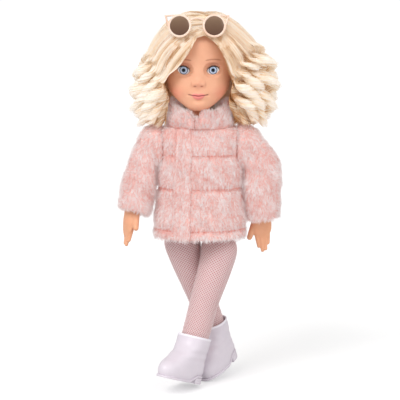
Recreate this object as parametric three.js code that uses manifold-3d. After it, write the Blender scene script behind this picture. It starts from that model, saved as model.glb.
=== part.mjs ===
// Jointed play doll with stuffed cloth body, wig, sunglasses, quilted fur jacket, net tights and boots.
// Millimetres, +Z up. The doll faces -Y, so its left side is +X.
import * as THREE from 'three';
import { mergeVertices } from 'three/addons/utils/BufferGeometryUtils.js';
import Module from 'manifold-3d';

const wasm = await Module();
wasm.setup();

// Clearances
const GAP = 0.3;
const SKIN_GAP = 0.4;
const WIG_GAP = 1.2;
const BOOT_FIT = 0.9;

// Where the doll stands in its frame
const STAND_X = 0;
const STAND_Y = 12.6;

// Hips and legs
const HIP_X = 28;
const HIP_Z = 212.8;
const HIP_DROP = 3;
const LEG_LENGTH = 211.5;
const HIP_BALL = 18.5;
const HIP_CUP_WALL = 2;
const HIP_CUP_ANGLE = 62;
const HIP_CUP_SIDES = 13;
const LEFT_LEG_TILT = [-13, 13.5, -36];
const RIGHT_LEG_TILT = [8, -16, -28];
const TIGHTS_THICK = 0.8;
const TIGHTS_TOP = 24;
const TIGHTS_WAIST_HEIGHT = 20;

// Boots
const BOOT_HEIGHT = 58;
const BOOT_WALL = 2;
const SOLE_THICK = 2.6;
const SOLE_EDGE = 0.9;
const HEEL_HEIGHT = 8;
const HEEL_FRONT = 2;
const ARCH_FRONT = -16;

// Arms
const SHOULDER_X = 59;
const SHOULDER_RISE = 87.5;
const SHOULDER_Z = HIP_Z + SHOULDER_RISE;
const ARM_STUB_INNER = 38;
const SLEEVE_CAP_INNER = 46.4;
const LEFT_ARM_OUT = 7.5;
const RIGHT_ARM_OUT = 4.5;
const ARM_STUB_RADIUS = 12;
const STUB_REACH = 6;
const SHOULDER_DISC_RADIUS = 13;
const SHOULDER_DISC_THICK = 4;
const LEFT_ARM_TILT = [0, -7, -85];
const RIGHT_ARM_TILT = [-10, 15.5, 25];

// Jacket
const HEM_DROP = 23.5;
const HEM_Z = HIP_Z - HEM_DROP;
const JACKET_RISE = 27;
const JACKET_TOP_Z = SHOULDER_Z + JACKET_RISE;
const JACKET_WALL = 4.2;
const JACKET_PUFF = 2.5;
const SEAM_CHANNEL = 5;
const QUILT_SEAMS = [HEM_Z - 4, HEM_Z + 11, HIP_Z + 39.5, SHOULDER_Z - 6, JACKET_TOP_Z + 12];
const PANEL_GAP = 0.2;
const JACKET_SQUARENESS = 2.4;
const SIDE_SEAM = 90;
const PLACKET_FROM = -31;
const PLACKET_TO = -9;
const UNDERLAP_TO = -27;
const STRIP_TO = -24;
const STRIP_FROM = -12;
const UNDERLAP_THICK = 1.8;
const STRIP_THICK = 0.7;
const PLACKET_PROUD = 0.9;
const ARMHOLE_RADIUS = 27.4;
const SLEEVE_INNER = 57.4;
const SLEEVE_LENGTH = 88;
const COLLAR_INNER = 33;
const COLLAR_THICK = 8;
const COLLAR_FRONT_HEIGHT = 13;
const COLLAR_RISE = 15;

// Head
const HEAD_X = -2;
const NECK_DISC_RADIUS = 15;
const NECK_DISC_THICK = 2.7;
const NECK_RISE = 21;
const TORSO_TOP_Z = SHOULDER_Z + NECK_RISE;
const CHIN_RISE = 29;
const CHIN_Z = TORSO_TOP_Z + CHIN_RISE;
const NECK_RADIUS = 14;
const NECK_BORE = 9;
const HEAD_WALL = 4;
const EYE_X = 18.2;
const EYE_Y = -21.8;
const EYE_RISE = 50;
const EYE_Z = CHIN_Z + EYE_RISE;
const EYEBALL_RADIUS = 10.5;
const EYE_OPEN_WIDTH = 14.6;
const EYE_OPEN_HEIGHT = 11.6;
const IRIS_RADIUS = 5;
const IRIS_THICK = 1.2;
const EYE_BAR_RADIUS = 2;
const WEIGHT_RADIUS = 5;
const WEIGHT_HALF = 8;
const LASH_LENGTH = 2.6;
const LASH_THICK = 0.8;
const LASH_LIFT = 21;

// Wig
const WIG_BOTTOM_Z = CHIN_Z - 17.5;
const WIG_TOP_Z = CHIN_Z + 124;
const WIG_LOCKS = 8;
const WIG_SIDES = 30;
const WIG_WAVE = 0.035;
const WIG_PARTING = CHIN_Z + 65;
const FRINGE_BACK = -14;
const FRINGE_BOTTOM = CHIN_Z + 29;
const BACK_CURLS_FROM = 28;
const WIG_COLLAR_SPACE = 44.5;
const WIG_COLLAR_TOP = CHIN_Z + 16;

// Sunglasses
const GLASSES_AT = [-1.75, -44, CHIN_Z + 105];
const GLASSES_LEAN = 12;
const LENS_SPACING = 42.5;
const LENS_RADIUS = 12;
const LENS_THICK = 1.2;
const RIM_RADIUS = 14.5;
const FRAME_THICK = 2.6;
const TEMPLE_LENGTH = 62;
const TEMPLE_HEIGHT = 3;
const TEMPLE_WIDTH = 2.2;
const TEMPLE_DROP = 9;
const TIP_OUT = 18.4;
const TIP_UP = 13;

const TURN = Math.PI * 2;
const radians = THREE.MathUtils.degToRad;
const point = (x, y, z) => new THREE.Vector3(x, y, z);

// Smooth curve through rows of a position and its values, in rising order
function smoothThrough(rows) {
  const last = rows.length - 1;
  const slope = (row, column) => {
    const before = rows[Math.max(row - 1, 0)];
    const after = rows[Math.min(row + 1, last)];
    return (after[column] - before[column]) / (after[0] - before[0]);
  };
  return (position) => {
    const place = THREE.MathUtils.clamp(position, rows[0][0], rows[last][0]);
    let row = 0;
    while (row < last - 1 && rows[row + 1][0] < place) row += 1;
    const span = rows[row + 1][0] - rows[row][0];
    const t = (place - rows[row][0]) / span;
    return rows[row].slice(1).map((from, index) => {
      const to = rows[row + 1][index + 1];
      const rise = slope(row, index + 1) * span;
      const fall = slope(row + 1, index + 1) * span;
      const a = 2 * t ** 3 - 3 * t ** 2 + 1;
      const b = t ** 3 - 2 * t ** 2 + t;
      const c = 3 * t ** 2 - 2 * t ** 3;
      const d = t ** 3 - t ** 2;
      return a * from + b * rise + c * to + d * fall;
    });
  };
}

// Signed power that keeps a rounded-square outline on its own side
const roundPower = (value, power) => Math.sign(value) * Math.abs(value) ** (2 / power);

// Level ring, starting at the front and going round by the left side
function ovalRing(x, y, z, left, right, front, back, power, count) {
  const ring = [];
  for (let step = 0; step < count; step += 1) {
    const angle = (step / count) * TURN;
    const across = roundPower(Math.sin(angle), power);
    const along = roundPower(Math.cos(angle), power);
    const sideways = across > 0 ? left : right;
    ring.push(point(x + across * sideways, y - along * (along > 0 ? front : back), z));
  }
  return ring;
}

// Closed surface with its faces outwards
function closedSurface(points, faces) {
  let volume = 0;
  for (const [a, b, c] of faces) {
    volume += points[a].dot(new THREE.Vector3().crossVectors(points[b], points[c]));
  }
  const turned = volume < 0 ? faces.map(([a, b, c]) => [a, c, b]) : faces;
  const geometry = new THREE.BufferGeometry();
  geometry.setAttribute('position', new THREE.Float32BufferAttribute(points.flatMap((p) => p.toArray()), 3));
  geometry.setIndex(turned.flat());
  return geometry;
}

// Solid skinned over rings of equal count, closed by a fan at each end
function loft(rings) {
  const count = rings[0].length;
  const points = rings.flat();
  const faces = [];
  for (let row = 0; row < rings.length - 1; row += 1) {
    for (let step = 0; step < count; step += 1) {
      const next = (step + 1) % count;
      const a = row * count + step;
      const b = row * count + next;
      faces.push([a, b, b + count], [a, b + count, a + count]);
    }
  }
  const middle = (ring) => ring.reduce((sum, p) => sum.add(p), point(0, 0, 0)).divideScalar(count);
  const start = points.length;
  points.push(middle(rings[0]), middle(rings[rings.length - 1]));
  const top = (rings.length - 1) * count;
  for (let step = 0; step < count; step += 1) {
    const next = (step + 1) % count;
    faces.push([start, next, step], [start + 1, top + step, top + next]);
  }
  return closedSurface(points, faces);
}

// Slab between two surfaces given over u and v from 0 to 1
function slab(inner, outer, across, along) {
  const points = [];
  const faces = [];
  const stride = across + 1;
  const layer = stride * (along + 1);
  for (const side of [inner, outer]) {
    for (let row = 0; row <= along; row += 1) {
      for (let step = 0; step <= across; step += 1) points.push(side(step / across, row / along));
    }
  }
  const quad = (a, b, c, d) => faces.push([a, b, c], [a, c, d]);
  for (let row = 0; row < along; row += 1) {
    for (let step = 0; step < across; step += 1) {
      const a = row * stride + step;
      quad(a, a + stride, a + stride + 1, a + 1);
      quad(layer + a, layer + a + 1, layer + a + stride + 1, layer + a + stride);
    }
    const near = row * stride;
    const far = near + across;
    quad(near, layer + near, layer + near + stride, near + stride);
    quad(far, far + stride, layer + far + stride, layer + far);
  }
  for (let step = 0; step < across; step += 1) {
    const high = along * stride + step;
    quad(step, step + 1, layer + step + 1, layer + step);
    quad(high, layer + high, layer + high + 1, high + 1);
  }
  return closedSurface(points, faces);
}

// Tube wall between two sets of rings
function tubeWall(innerRings, outerRings) {
  const count = innerRings[0].length;
  const loop = [...innerRings, ...outerRings.slice().reverse()];
  const points = loop.flat();
  const faces = [];
  loop.forEach((ring, row) => {
    const after = ((row + 1) % loop.length) * count;
    for (let step = 0; step < count; step += 1) {
      const next = (step + 1) % count;
      const a = row * count;
      faces.push([a + step, a + next, after + next], [a + step, after + next, after + step]);
    }
  });
  return closedSurface(points, faces);
}

// Level positions between two heights
const levels = (from, to, steps) => {
  return Array.from({ length: steps + 1 }, (_, i) => from + ((to - from) * i) / steps);
};

function solid(geometry) {
  const plain = geometry.clone();
  plain.deleteAttribute('normal');
  plain.deleteAttribute('uv');
  const welded = mergeVertices(plain, 1e-4);
  const vertProperties = new Float32Array(welded.attributes.position.array);
  const triVerts = new Uint32Array(welded.index.array);
  return new wasm.Manifold(new wasm.Mesh({ numProp: 3, vertProperties, triVerts }));
}

// Main lump of a cut body, without slivers that a cut leaves loose
function mainLump(body) {
  const { vertProperties, triVerts } = body.getMesh();
  const parent = Array.from({ length: vertProperties.length / 3 }, (_, i) => i);
  const root = (i) => {
    let at = i;
    while (parent[at] !== at) {
      parent[at] = parent[parent[at]];
      at = parent[at];
    }
    return at;
  };
  for (let i = 0; i < triVerts.length; i += 3) {
    parent[root(triVerts[i + 1])] = root(triVerts[i]);
    parent[root(triVerts[i + 2])] = root(triVerts[i]);
  }
  const tally = new Map();
  for (let i = 0; i < triVerts.length; i += 3) {
    const lump = root(triVerts[i]);
    tally.set(lump, (tally.get(lump) ?? 0) + 1);
  }
  const main = [...tally.entries()].sort((a, b) => b[1] - a[1])[0][0];
  const kept = [];
  for (let i = 0; i < triVerts.length; i += 3) {
    if (root(triVerts[i]) === main) kept.push(triVerts[i], triVerts[i + 1], triVerts[i + 2]);
  }
  const geometry = new THREE.BufferGeometry();
  geometry.setAttribute('position', new THREE.Float32BufferAttribute(vertProperties, 3));
  geometry.setIndex(kept);
  return mergeVertices(geometry, 1e-5);
}

const joined = (first, ...others) => others.reduce((sum, other) => sum.add(other), first);
const without = (first, ...others) => others.reduce((rest, other) => rest.subtract(other), first);

// Round bar or cone from one point to another
function bar(from, to, startRadius, endRadius, sides) {
  const way = new THREE.Vector3().subVectors(to, from);
  const geometry = new THREE.CylinderGeometry(endRadius, startRadius, way.length(), sides);
  geometry.translate(0, way.length() / 2, 0);
  const turn = new THREE.Quaternion().setFromUnitVectors(point(0, 1, 0), way.normalize());
  geometry.applyQuaternion(turn);
  return geometry.translate(from.x, from.y, from.z);
}

// Tapered finger with a rounded tip
function finger(from, to, startRadius, endRadius, sides) {
  const tip = new THREE.SphereGeometry(endRadius, sides, 3).translate(to.x, to.y, to.z);
  return solid(bar(from, to, startRadius, endRadius, sides)).add(solid(tip));
}

const ball = (x, y, z, radius, sides) => {
  return new THREE.SphereGeometry(radius, sides, Math.round(sides / 2)).translate(x, y, z);
};
// Ball cut whose flats still clear a round of this radius
const ballSpace = (x, y, z, radius, sides) => {
  return solid(ball(x, y, z, radius / Math.cos(Math.PI / sides) ** 2, sides));
};
const block = (x0, x1, y0, y1, z0, z1) => {
  const geometry = new THREE.BoxGeometry(x1 - x0, y1 - y0, z1 - z0);
  return solid(geometry.translate((x0 + x1) / 2, (y0 + y1) / 2, (z0 + z1) / 2));
};

// Outline in the X-Z plane pushed along Y
function frontPlate(outline, fromY, toY) {
  const settings = { depth: toY - fromY, bevelEnabled: false, curveSegments: 11 };
  const geometry = new THREE.ExtrudeGeometry(outline, settings);
  return geometry.rotateX(Math.PI / 2).translate(0, toY, 0);
}

const finishes = {
  skin: { color: 0xf2bf9f, roughness: 0.5, metalness: 0 },
  cloth: { color: 0xe9cdb9, roughness: 0.9, metalness: 0 },
  hair: { color: 0xecd9b0, roughness: 0.55, metalness: 0 },
  fur: { color: 0xf2cfc9, roughness: 0.95, metalness: 0 },
  tape: { color: 0xf0e2de, roughness: 0.9, metalness: 0 },
  tights: { color: 0xf1d3cf, roughness: 0.8, metalness: 0 },
  boot: { color: 0xe6dfe8, roughness: 0.45, metalness: 0 },
  sole: { color: 0xd9d2dc, roughness: 0.6, metalness: 0 },
  frame: { color: 0xf3d8c6, roughness: 0.3, metalness: 0 },
  lens: { color: 0x6f5240, roughness: 0.1, metalness: 0 },
  eye: { color: 0xf6f4f2, roughness: 0.15, metalness: 0 },
  iris: { color: 0x8fb3cf, roughness: 0.1, metalness: 0 },
  lash: { color: 0x3a2a22, roughness: 0.7, metalness: 0 },
  plastic: { color: 0xe8e4de, roughness: 0.5, metalness: 0 },
  weight: { color: 0x8d8f92, roughness: 0.5, metalness: 0.6 },
};

function addPiece(group, name, shape, finish) {
  const geometry = shape instanceof THREE.BufferGeometry ? shape : mainLump(shape);
  geometry.computeVertexNormals();
  const mesh = new THREE.Mesh(geometry, new THREE.MeshStandardMaterial(finishes[finish]));
  mesh.name = name;
  group.add(mesh);
}

const doll = new THREE.Group();
doll.name = 'play_doll';
doll.position.set(STAND_X, STAND_Y, 0);

// Cloth torso: height, half width, front and back
const torsoShape = smoothThrough([
  [HIP_Z, 41, 31, 33],
  [HIP_Z + 12, 45, 34, 36],
  [HIP_Z + 40, 42, 33, 33],
  [SHOULDER_Z - 20, 43, 33, 33],
  [SHOULDER_Z, 42, 31, 31],
  [TORSO_TOP_Z - 6, 33, 25, 26],
  [TORSO_TOP_Z, 20, 18, 18],
]);
const hipHeight = (side) => HIP_Z - side * HIP_DROP;
const torsoRing = (z, grow) => {
  const [side, front, back] = torsoShape(z);
  return ovalRing(0, 0, z, side + grow, side + grow, front + grow, back + grow, 2.3, 20);
};
const cupInside = (HIP_BALL + GAP) / Math.cos(Math.PI / HIP_CUP_SIDES) ** 2;
const hipSocket = cupInside + HIP_CUP_WALL + GAP;
const sockets = [1, -1].map((side) => ballSpace(side * HIP_X, 0, hipHeight(side), hipSocket, 16));
const discInner = ARM_STUB_INNER - GAP - SHOULDER_DISC_THICK;
const shoulderBar = (side, from, to, radius, sides) => {
  const start = point(side * from, 0, SHOULDER_Z);
  return bar(start, point(side * to, 0, SHOULDER_Z), radius, radius, sides);
};
const discRecesses = [1, -1].map((side) => {
  return solid(shoulderBar(side, discInner - GAP, SHOULDER_X, SHOULDER_DISC_RADIUS + GAP, 16));
});
const torsoBody = solid(loft(levels(HIP_Z, TORSO_TOP_Z, 9).map((z) => torsoRing(z, 0))));
addPiece(doll, 'torso', without(torsoBody, ...sockets, ...discRecesses), 'cloth');

const neckDiscZ = TORSO_TOP_Z + GAP;
const neckDisc = bar(point(HEAD_X, 0, neckDiscZ), point(HEAD_X, 0, neckDiscZ + NECK_DISC_THICK),
  NECK_DISC_RADIUS, NECK_DISC_RADIUS, 20);
addPiece(doll, 'neck_disc', neckDisc, 'plastic');

for (const [name, side] of [['left', 1], ['right', -1]]) {
  const disc = shoulderBar(side, discInner, discInner + SHOULDER_DISC_THICK, SHOULDER_DISC_RADIUS, 16);
  addPiece(doll, `${name}_shoulder_disc`, disc, 'plastic');
}

// Waist of the tights, a band on the cloth body above the hip sockets
const waistLow = HIP_Z + HIP_DROP + hipSocket + GAP;
const waistLevels = levels(waistLow, waistLow + TIGHTS_WAIST_HEIGHT, 3);
const waistBand = tubeWall(
  waistLevels.map((z) => torsoRing(z, SKIN_GAP)),
  waistLevels.map((z) => torsoRing(z, SKIN_GAP + TIGHTS_THICK)),
);
addPiece(doll, 'tights_waist', waistBand, 'tights');

// Leg skin: depth below the hip, half width, front, back, outward bow
const legShape = smoothThrough([
  [10, 15, 15, 15, 0],
  [20, 18.5, 17.5, 18, 2],
  [35, 23.3, 19.2, 20.2, 5.8],
  [60, 21.6, 18, 19, 6.8],
  [LEG_LENGTH - 112, 18.6, 17, 16.5, 3.5],
  [LEG_LENGTH - 95, 17.4, 16.5, 16.5, 2],
  [LEG_LENGTH - 77, 17.4, 16, 17.5, 1.5],
  [LEG_LENGTH - 55, 16.6, 15.5, 17, 0.5],
  [LEG_LENGTH - 35, 14, 13.5, 15, 0],
  [LEG_LENGTH - 19, 12.5, 13, 14, 0],
]);
const legRing = (depth, side, grow) => {
  const [half, front, back, bow] = legShape(depth);
  return ovalRing(side * bow, 0, -depth, half + grow, half + grow, front + grow, back + grow, 2, 18);
};

// Boot: height above the floor, half width, toe reach, heel reach
const rimDepth = LEG_LENGTH - BOOT_HEIGHT;
const rimGrow = SKIN_GAP + TIGHTS_THICK + BOOT_FIT + BOOT_WALL;
const [rimHalf, rimFront, rimBack] = legShape(rimDepth).map((half) => half + rimGrow);
const bootShape = smoothThrough([
  [0, 17.5, 53, 22],
  [5, 18.7, 54.5, 23.2],
  [12, 18.8, 53, 23.5],
  [19, 18.5, 47, 23],
  [27, 18.3, 38, 22],
  [36, 18.6, 28, 21],
  [46, rimHalf - 0.6, 21.5, rimBack - 0.5],
  [BOOT_HEIGHT, rimHalf, rimFront + 0.5, rimBack],
]);
const bootRing = (height, grow, count) => {
  const [half, toe, heel] = bootShape(height);
  return ovalRing(0, 0, height - LEG_LENGTH, half + grow, half + grow, toe + grow, heel + grow, 2.3, count);
};
const bootLevels = [0, 5, 12, 19, 27, 36, 46, BOOT_HEIGHT];
const bootRise = (y) => {
  const t = THREE.MathUtils.clamp((y - ARCH_FRONT) / (HEEL_FRONT - ARCH_FRONT), 0, 1);
  return HEEL_HEIGHT * t * t * (3 - 2 * t) - LEG_LENGTH;
};
const underfoot = (low, high) => {
  const surfaceAt = (lift) => (u, v) => {
    const y = THREE.MathUtils.lerp(-80, 50, v);
    return point(THREE.MathUtils.lerp(-40, 40, u), y, lift === null ? -2 * LEG_LENGTH : bootRise(y) + lift);
  };
  return solid(slab(surfaceAt(low), surfaceAt(high), 1, 13));
};
const bootCavity = () => {
  const rings = bootLevels.slice(1).map((height) => bootRing(height, -BOOT_WALL, 20));
  return without(solid(loft(rings)), underfoot(null, SOLE_THICK + GAP + BOOT_WALL));
};
const footLump = () => {
  const inset = -BOOT_WALL - SKIN_GAP;
  const rings = bootLevels.slice(1, 5).map((height) => bootRing(height, inset, 20));
  return without(solid(loft(rings)), underfoot(null, SOLE_THICK + GAP + BOOT_WALL + SKIN_GAP));
};

const tightsLevels = levels(TIGHTS_TOP, rimDepth + 6, 7);
const ankleDepth = LEG_LENGTH - 19;

function addLeg(name, side, tilt) {
  const group = new THREE.Group();
  group.name = `${name}_leg_group`;
  group.position.set(side * HIP_X, 0, hipHeight(side));
  group.rotation.set(...tilt.map(radians), 'YXZ');
  const legLevels = [10, 18, ...tightsLevels, ankleDepth];
  const limb = solid(loft(legLevels.map((depth) => legRing(depth, side, 0))));
  addPiece(group, `${name}_leg`, joined(limb, solid(ball(0, 0, 0, HIP_BALL, 14)), footLump()), 'skin');

  const tights = tubeWall(
    tightsLevels.map((depth) => legRing(depth, side, SKIN_GAP)),
    tightsLevels.map((depth) => legRing(depth, side, SKIN_GAP + TIGHTS_THICK)),
  );
  addPiece(group, `tights_${name}_leg`, tights, 'tights');

  const bootBody = solid(loft(bootLevels.map((height) => bootRing(height, 0, 20))));
  const upper = without(bootBody, underfoot(null, SOLE_THICK + GAP), bootCavity());
  addPiece(group, `${name}_boot_upper`, upper, 'boot');

  const footprint = solid(loft([0, 30].map((height) => {
    return bootRing(5, SOLE_EDGE, 24).map((p) => point(p.x, p.y, height - LEG_LENGTH));
  })));
  const sole = footprint.intersect(underfoot(0, SOLE_THICK));
  addPiece(group, `${name}_boot_sole`, sole, 'sole');

  const heelBlock = footprint.intersect(block(-40, 40, HEEL_FRONT, 50, -LEG_LENGTH, 0));
  const heel = heelBlock.intersect(underfoot(null, -GAP));
  addPiece(group, `${name}_boot_heel`, heel, 'sole');
  doll.add(group);

  // Cup over the top of the hip ball, turning about the hip centre
  const outline = [];
  for (const radius of [cupInside, cupInside + HIP_CUP_WALL]) {
    const arc = levels(0, radians(HIP_CUP_ANGLE), 4).map((angle) => {
      return new THREE.Vector2(radius * Math.sin(angle), radius * Math.cos(angle));
    });
    outline.push(...(radius === cupInside ? arc : arc.reverse()));
  }
  outline[0].x = 0;
  outline[outline.length - 1].x = 0;
  const cup = new THREE.LatheGeometry(outline, HIP_CUP_SIDES).rotateX(Math.PI / 2);
  addPiece(doll, `${name}_hip_cup`, solid(cup.translate(side * HIP_X, 0, hipHeight(side))), 'plastic');
}
addLeg('left', 1, LEFT_LEG_TILT);
addLeg('right', -1, RIGHT_LEG_TILT);

// Arm skin: depth below the shoulder, half thickness, half width
const armShape = smoothThrough([
  [-11, 5, 5],
  [-6, 9, 9],
  [4, 10.4, 10.4],
  [25, 10.8, 10.8],
  [50, 10.8, 11],
  [72, 10.2, 11.4],
  [88, 8.8, 11.8],
  [98, 8.6, 13],
  [107, 7.2, 12.4],
  [112, 5, 9],
]);
const armRing = (depth, grow) => {
  const [thick, wide] = armShape(depth);
  return ovalRing(0, 0, -depth, thick + grow, thick + grow, wide + grow, wide + grow, 2.1, 12);
};

// Sleeve: depth below the shoulder, half width, half depth, outward shift
const sleeveShapes = {
  left: smoothThrough([
    [-6, 20, 23, -2],
    [22, 26, 26, 5],
    [50, 25, 25.5, 4],
    [75, 22.5, 23, 3],
    [SLEEVE_LENGTH, 20.5, 21.5, 3],
  ]),
  right: smoothThrough([
    [-6, 18, 23, -1],
    [22, 21, 25, -1],
    [50, 21.5, 25, 0],
    [75, 19.5, 23, -1],
    [SLEEVE_LENGTH, 18, 20.5, -2],
  ]),
};

// Rounded shoulder of the sleeve: way out along the shoulder line and its radius
const shoulderDome = [
  [SLEEVE_CAP_INNER, ARMHOLE_RADIUS - SKIN_GAP],
  [SHOULDER_X + 1, ARMHOLE_RADIUS - SKIN_GAP],
  [SHOULDER_X + 9, ARMHOLE_RADIUS - 2],
  [SHOULDER_X + 16, ARMHOLE_RADIUS - 6],
  [SHOULDER_X + 21, ARMHOLE_RADIUS - 13],
  [SHOULDER_X + 24, 5],
];

// Fingers: place across the palm at root and tip, and reach below the shoulder
const fingerRows = [[-8.2, -4.8, 128], [-2.8, -1.6, 133], [2.8, 1.6, 131.5], [8, 4.7, 125]];

function addArm(name, side, out, tilt) {
  const [pitch, lean, twist] = tilt.map(radians);
  const hang = new THREE.Matrix4().makeRotationFromEuler(new THREE.Euler(pitch, lean, 0, 'YXZ'));
  hang.setPosition(side * (SHOULDER_X + out), 0, SHOULDER_Z);
  const turned = hang.clone().multiply(new THREE.Matrix4().makeRotationZ(twist));
  const palm = -side;
  const armLevels = [-11, -6, 4, 25, 50, 72, 88, 98, 107, 112];
  const limb = (grow, rows) => solid(loft(rows.map((depth) => armRing(depth, grow))).applyMatrix4(turned));
  const handParts = fingerRows.map(([root, tip, reach]) => {
    return [point(palm * 0.5, root, -100), point(palm * 3, tip, -reach), 4.1, 3];
  });
  handParts.push([point(palm * 1.5, -6.5, -93), point(palm * 3, -17, -114), 5.4, 3.6]);
  const place = (p) => p.applyMatrix4(turned);
  const hand = handParts.map(([from, to, start, end]) => finger(place(from), place(to), start, end, 6));
  const stubEnd = SHOULDER_X + STUB_REACH;
  const stub = solid(shoulderBar(side, ARM_STUB_INNER, stubEnd, ARM_STUB_RADIUS, 14));
  addPiece(doll, `${name}_arm`, joined(limb(0, armLevels), stub, ...hand), 'skin');

  const shape = sleeveShapes[name];
  const rings = levels(-6, SLEEVE_LENGTH, 10).map((depth) => {
    const [half, deep, shift] = shape(depth);
    const puff = JACKET_PUFF * 0.6 * Math.abs(Math.sin((Math.PI * 3 * depth) / SLEEVE_LENGTH));
    return ovalRing(side * shift, 0, -depth, half + puff, half + puff, deep + puff, deep + puff, 2.2, 18);
  });
  const tube = solid(loft(rings).applyMatrix4(hang));
  const inside = block(side > 0 ? -200 : -SLEEVE_INNER, side > 0 ? SLEEVE_INNER : 200, -200, 200, 0, 500);
  const domeRings = shoulderDome.map(([out, radius]) => {
    return ovalRing(0, 0, out, radius, radius, radius, radius, 2, 22);
  });
  const dome = loft(domeRings).rotateY(Math.PI / 2);
  if (side < 0) dome.rotateZ(Math.PI);
  dome.translate(0, 0, SHOULDER_Z);
  const armSpace = limb(SKIN_GAP, [-11, -6, 4, 25, 50, 72, 88, 98]);
  const stubGrown = ARM_STUB_RADIUS + SKIN_GAP;
  const stubSpace = solid(shoulderBar(side, ARM_STUB_INNER - 5, stubEnd + SKIN_GAP, stubGrown, 14));
  const sleeve = without(joined(without(tube, inside), solid(dome)), armSpace, stubSpace);
  addPiece(doll, `jacket_${name}_sleeve`, sleeve, 'fur');
}
addArm('left', 1, LEFT_ARM_OUT, LEFT_ARM_TILT);
addArm('right', -1, RIGHT_ARM_OUT, RIGHT_ARM_TILT);

// Jacket lining: height, half width, front and back; the quilted wall stands on it
const jacketShape = smoothThrough([
  [HEM_Z, 51, 45, 43],
  [HIP_Z, 50.4, 43, 42],
  [HIP_Z + 14, 48, 41, 40],
  [SHOULDER_Z - 45, 46.8, 38.5, 38],
  [SHOULDER_Z - 10, 46.6, 37, 37],
  [SHOULDER_Z + 10, 46, 34, 35],
  [JACKET_TOP_Z - 6, 38, 31, 32],
  [JACKET_TOP_Z, 32, 29, 30],
]);
const quiltPuff = (z) => {
  const row = QUILT_SEAMS.findIndex((seam) => seam > z);
  const low = QUILT_SEAMS[row - 1];
  const across = (2 * (z - low)) / (QUILT_SEAMS[row] - low) - 1;
  return JACKET_PUFF * (1 - across ** 4);
};
const jacketPoint = (degrees, z, offset) => {
  const [side, front, back] = jacketShape(z);
  const across = roundPower(Math.sin(radians(degrees)), JACKET_SQUARENESS);
  const along = roundPower(Math.cos(radians(degrees)), JACKET_SQUARENESS);
  const depth = along > 0 ? front : back;
  return point(across * (side + offset), -along * (depth + offset), z);
};
const rowLevels = QUILT_SEAMS.slice(1, -1).flatMap((seam, row) => {
  return [seam - SEAM_CHANNEL, seam, seam + SEAM_CHANNEL, (seam + QUILT_SEAMS[row + 2]) / 2];
});
function jacketPanel(from, to, low, high, topZ, across) {
  const heights = [HEM_Z, ...rowLevels.filter((z) => z < topZ - 2), topZ];
  const surfaceAt = (offset) => (u, v) => {
    const z = heights[Math.round(v * (heights.length - 1))];
    return jacketPoint(THREE.MathUtils.lerp(from, to, u), z, offset(z));
  };
  return solid(slab(surfaceAt(low), surfaceAt(high), across, heights.length - 1));
}
const lining = () => 0;
const quilted = (z) => JACKET_WALL + quiltPuff(z);
const armholeRadius = ARMHOLE_RADIUS / Math.cos(Math.PI / 22);
const armholes = [1, -1].map((side) => {
  return solid(shoulderBar(side, SLEEVE_CAP_INNER - SKIN_GAP, 90, armholeRadius, 22));
});
const stubHoles = [1, -1].map((side) => {
  return solid(shoulderBar(side, ARM_STUB_INNER, 90, ARM_STUB_RADIUS + 1, 14));
});
const panel = (...settings) => without(jacketPanel(...settings), ...armholes, ...stubHoles);

const backFrom = SIDE_SEAM + PANEL_GAP;
const backPanel = panel(backFrom, 360 - backFrom, lining, quilted, JACKET_TOP_Z, 12);
addPiece(doll, 'jacket_back', backPanel, 'fur');
const rightFront = panel(-SIDE_SEAM + PANEL_GAP, PLACKET_FROM - PANEL_GAP, lining, quilted, JACKET_TOP_Z, 5);
addPiece(doll, 'jacket_right_front', rightFront, 'fur');
const leftMain = panel(PLACKET_TO + PANEL_GAP, SIDE_SEAM - PANEL_GAP, lining, quilted, JACKET_TOP_Z, 7);
const underlap = jacketPanel(UNDERLAP_TO, PLACKET_TO + 1, lining, () => UNDERLAP_THICK, JACKET_TOP_Z, 3);
addPiece(doll, 'jacket_left_front', joined(leftMain, underlap), 'fur');

const loopLow = UNDERLAP_THICK + GAP;
const hookLow = loopLow + STRIP_THICK + GAP;
const placketLow = hookLow + STRIP_THICK + GAP;
const stripTop = JACKET_TOP_Z - 8;
const strip = (low) => jacketPanel(STRIP_TO, STRIP_FROM, () => low, () => low + STRIP_THICK, stripTop, 2);
addPiece(doll, 'closure_loop_strip', strip(loopLow), 'tape');
addPiece(doll, 'closure_hook_strip', strip(hookLow), 'tape');
const placketTop = (z) => quilted(z) + PLACKET_PROUD;
const placketEdges = [PLACKET_FROM + PANEL_GAP, PLACKET_TO - PANEL_GAP];
const placket = jacketPanel(...placketEdges, () => placketLow, placketTop, JACKET_TOP_Z, 3);
addPiece(doll, 'jacket_placket', placket, 'fur');

// Stand-up collar, low at the chin and higher round the sides and back
const collarLow = JACKET_TOP_Z + GAP;
const collarTop = (degrees) => {
  const fromFront = Math.abs(((degrees + 180) % 360) - 180);
  const t = THREE.MathUtils.clamp((fromFront - 44) / 26, 0, 1);
  return JACKET_TOP_Z + COLLAR_FRONT_HEIGHT + COLLAR_RISE * t * t * (3 - 2 * t);
};
const collarWall = (outer) => (u, v) => {
  const degrees = THREE.MathUtils.lerp(PLACKET_TO + 1, PLACKET_TO + 359, u);
  const z = THREE.MathUtils.lerp(collarLow, collarTop(degrees), v);
  const belly = outer ? COLLAR_THICK * (0.55 + 0.45 * Math.sin(Math.PI * Math.min(v + 0.15, 0.85))) : 0;
  const radius = COLLAR_INNER + belly;
  return point(radius * Math.sin(radians(degrees)), -radius * Math.cos(radians(degrees)), z);
};
addPiece(doll, 'jacket_collar', solid(slab(collarWall(false), collarWall(true), 26, 3)), 'fur');

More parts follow.
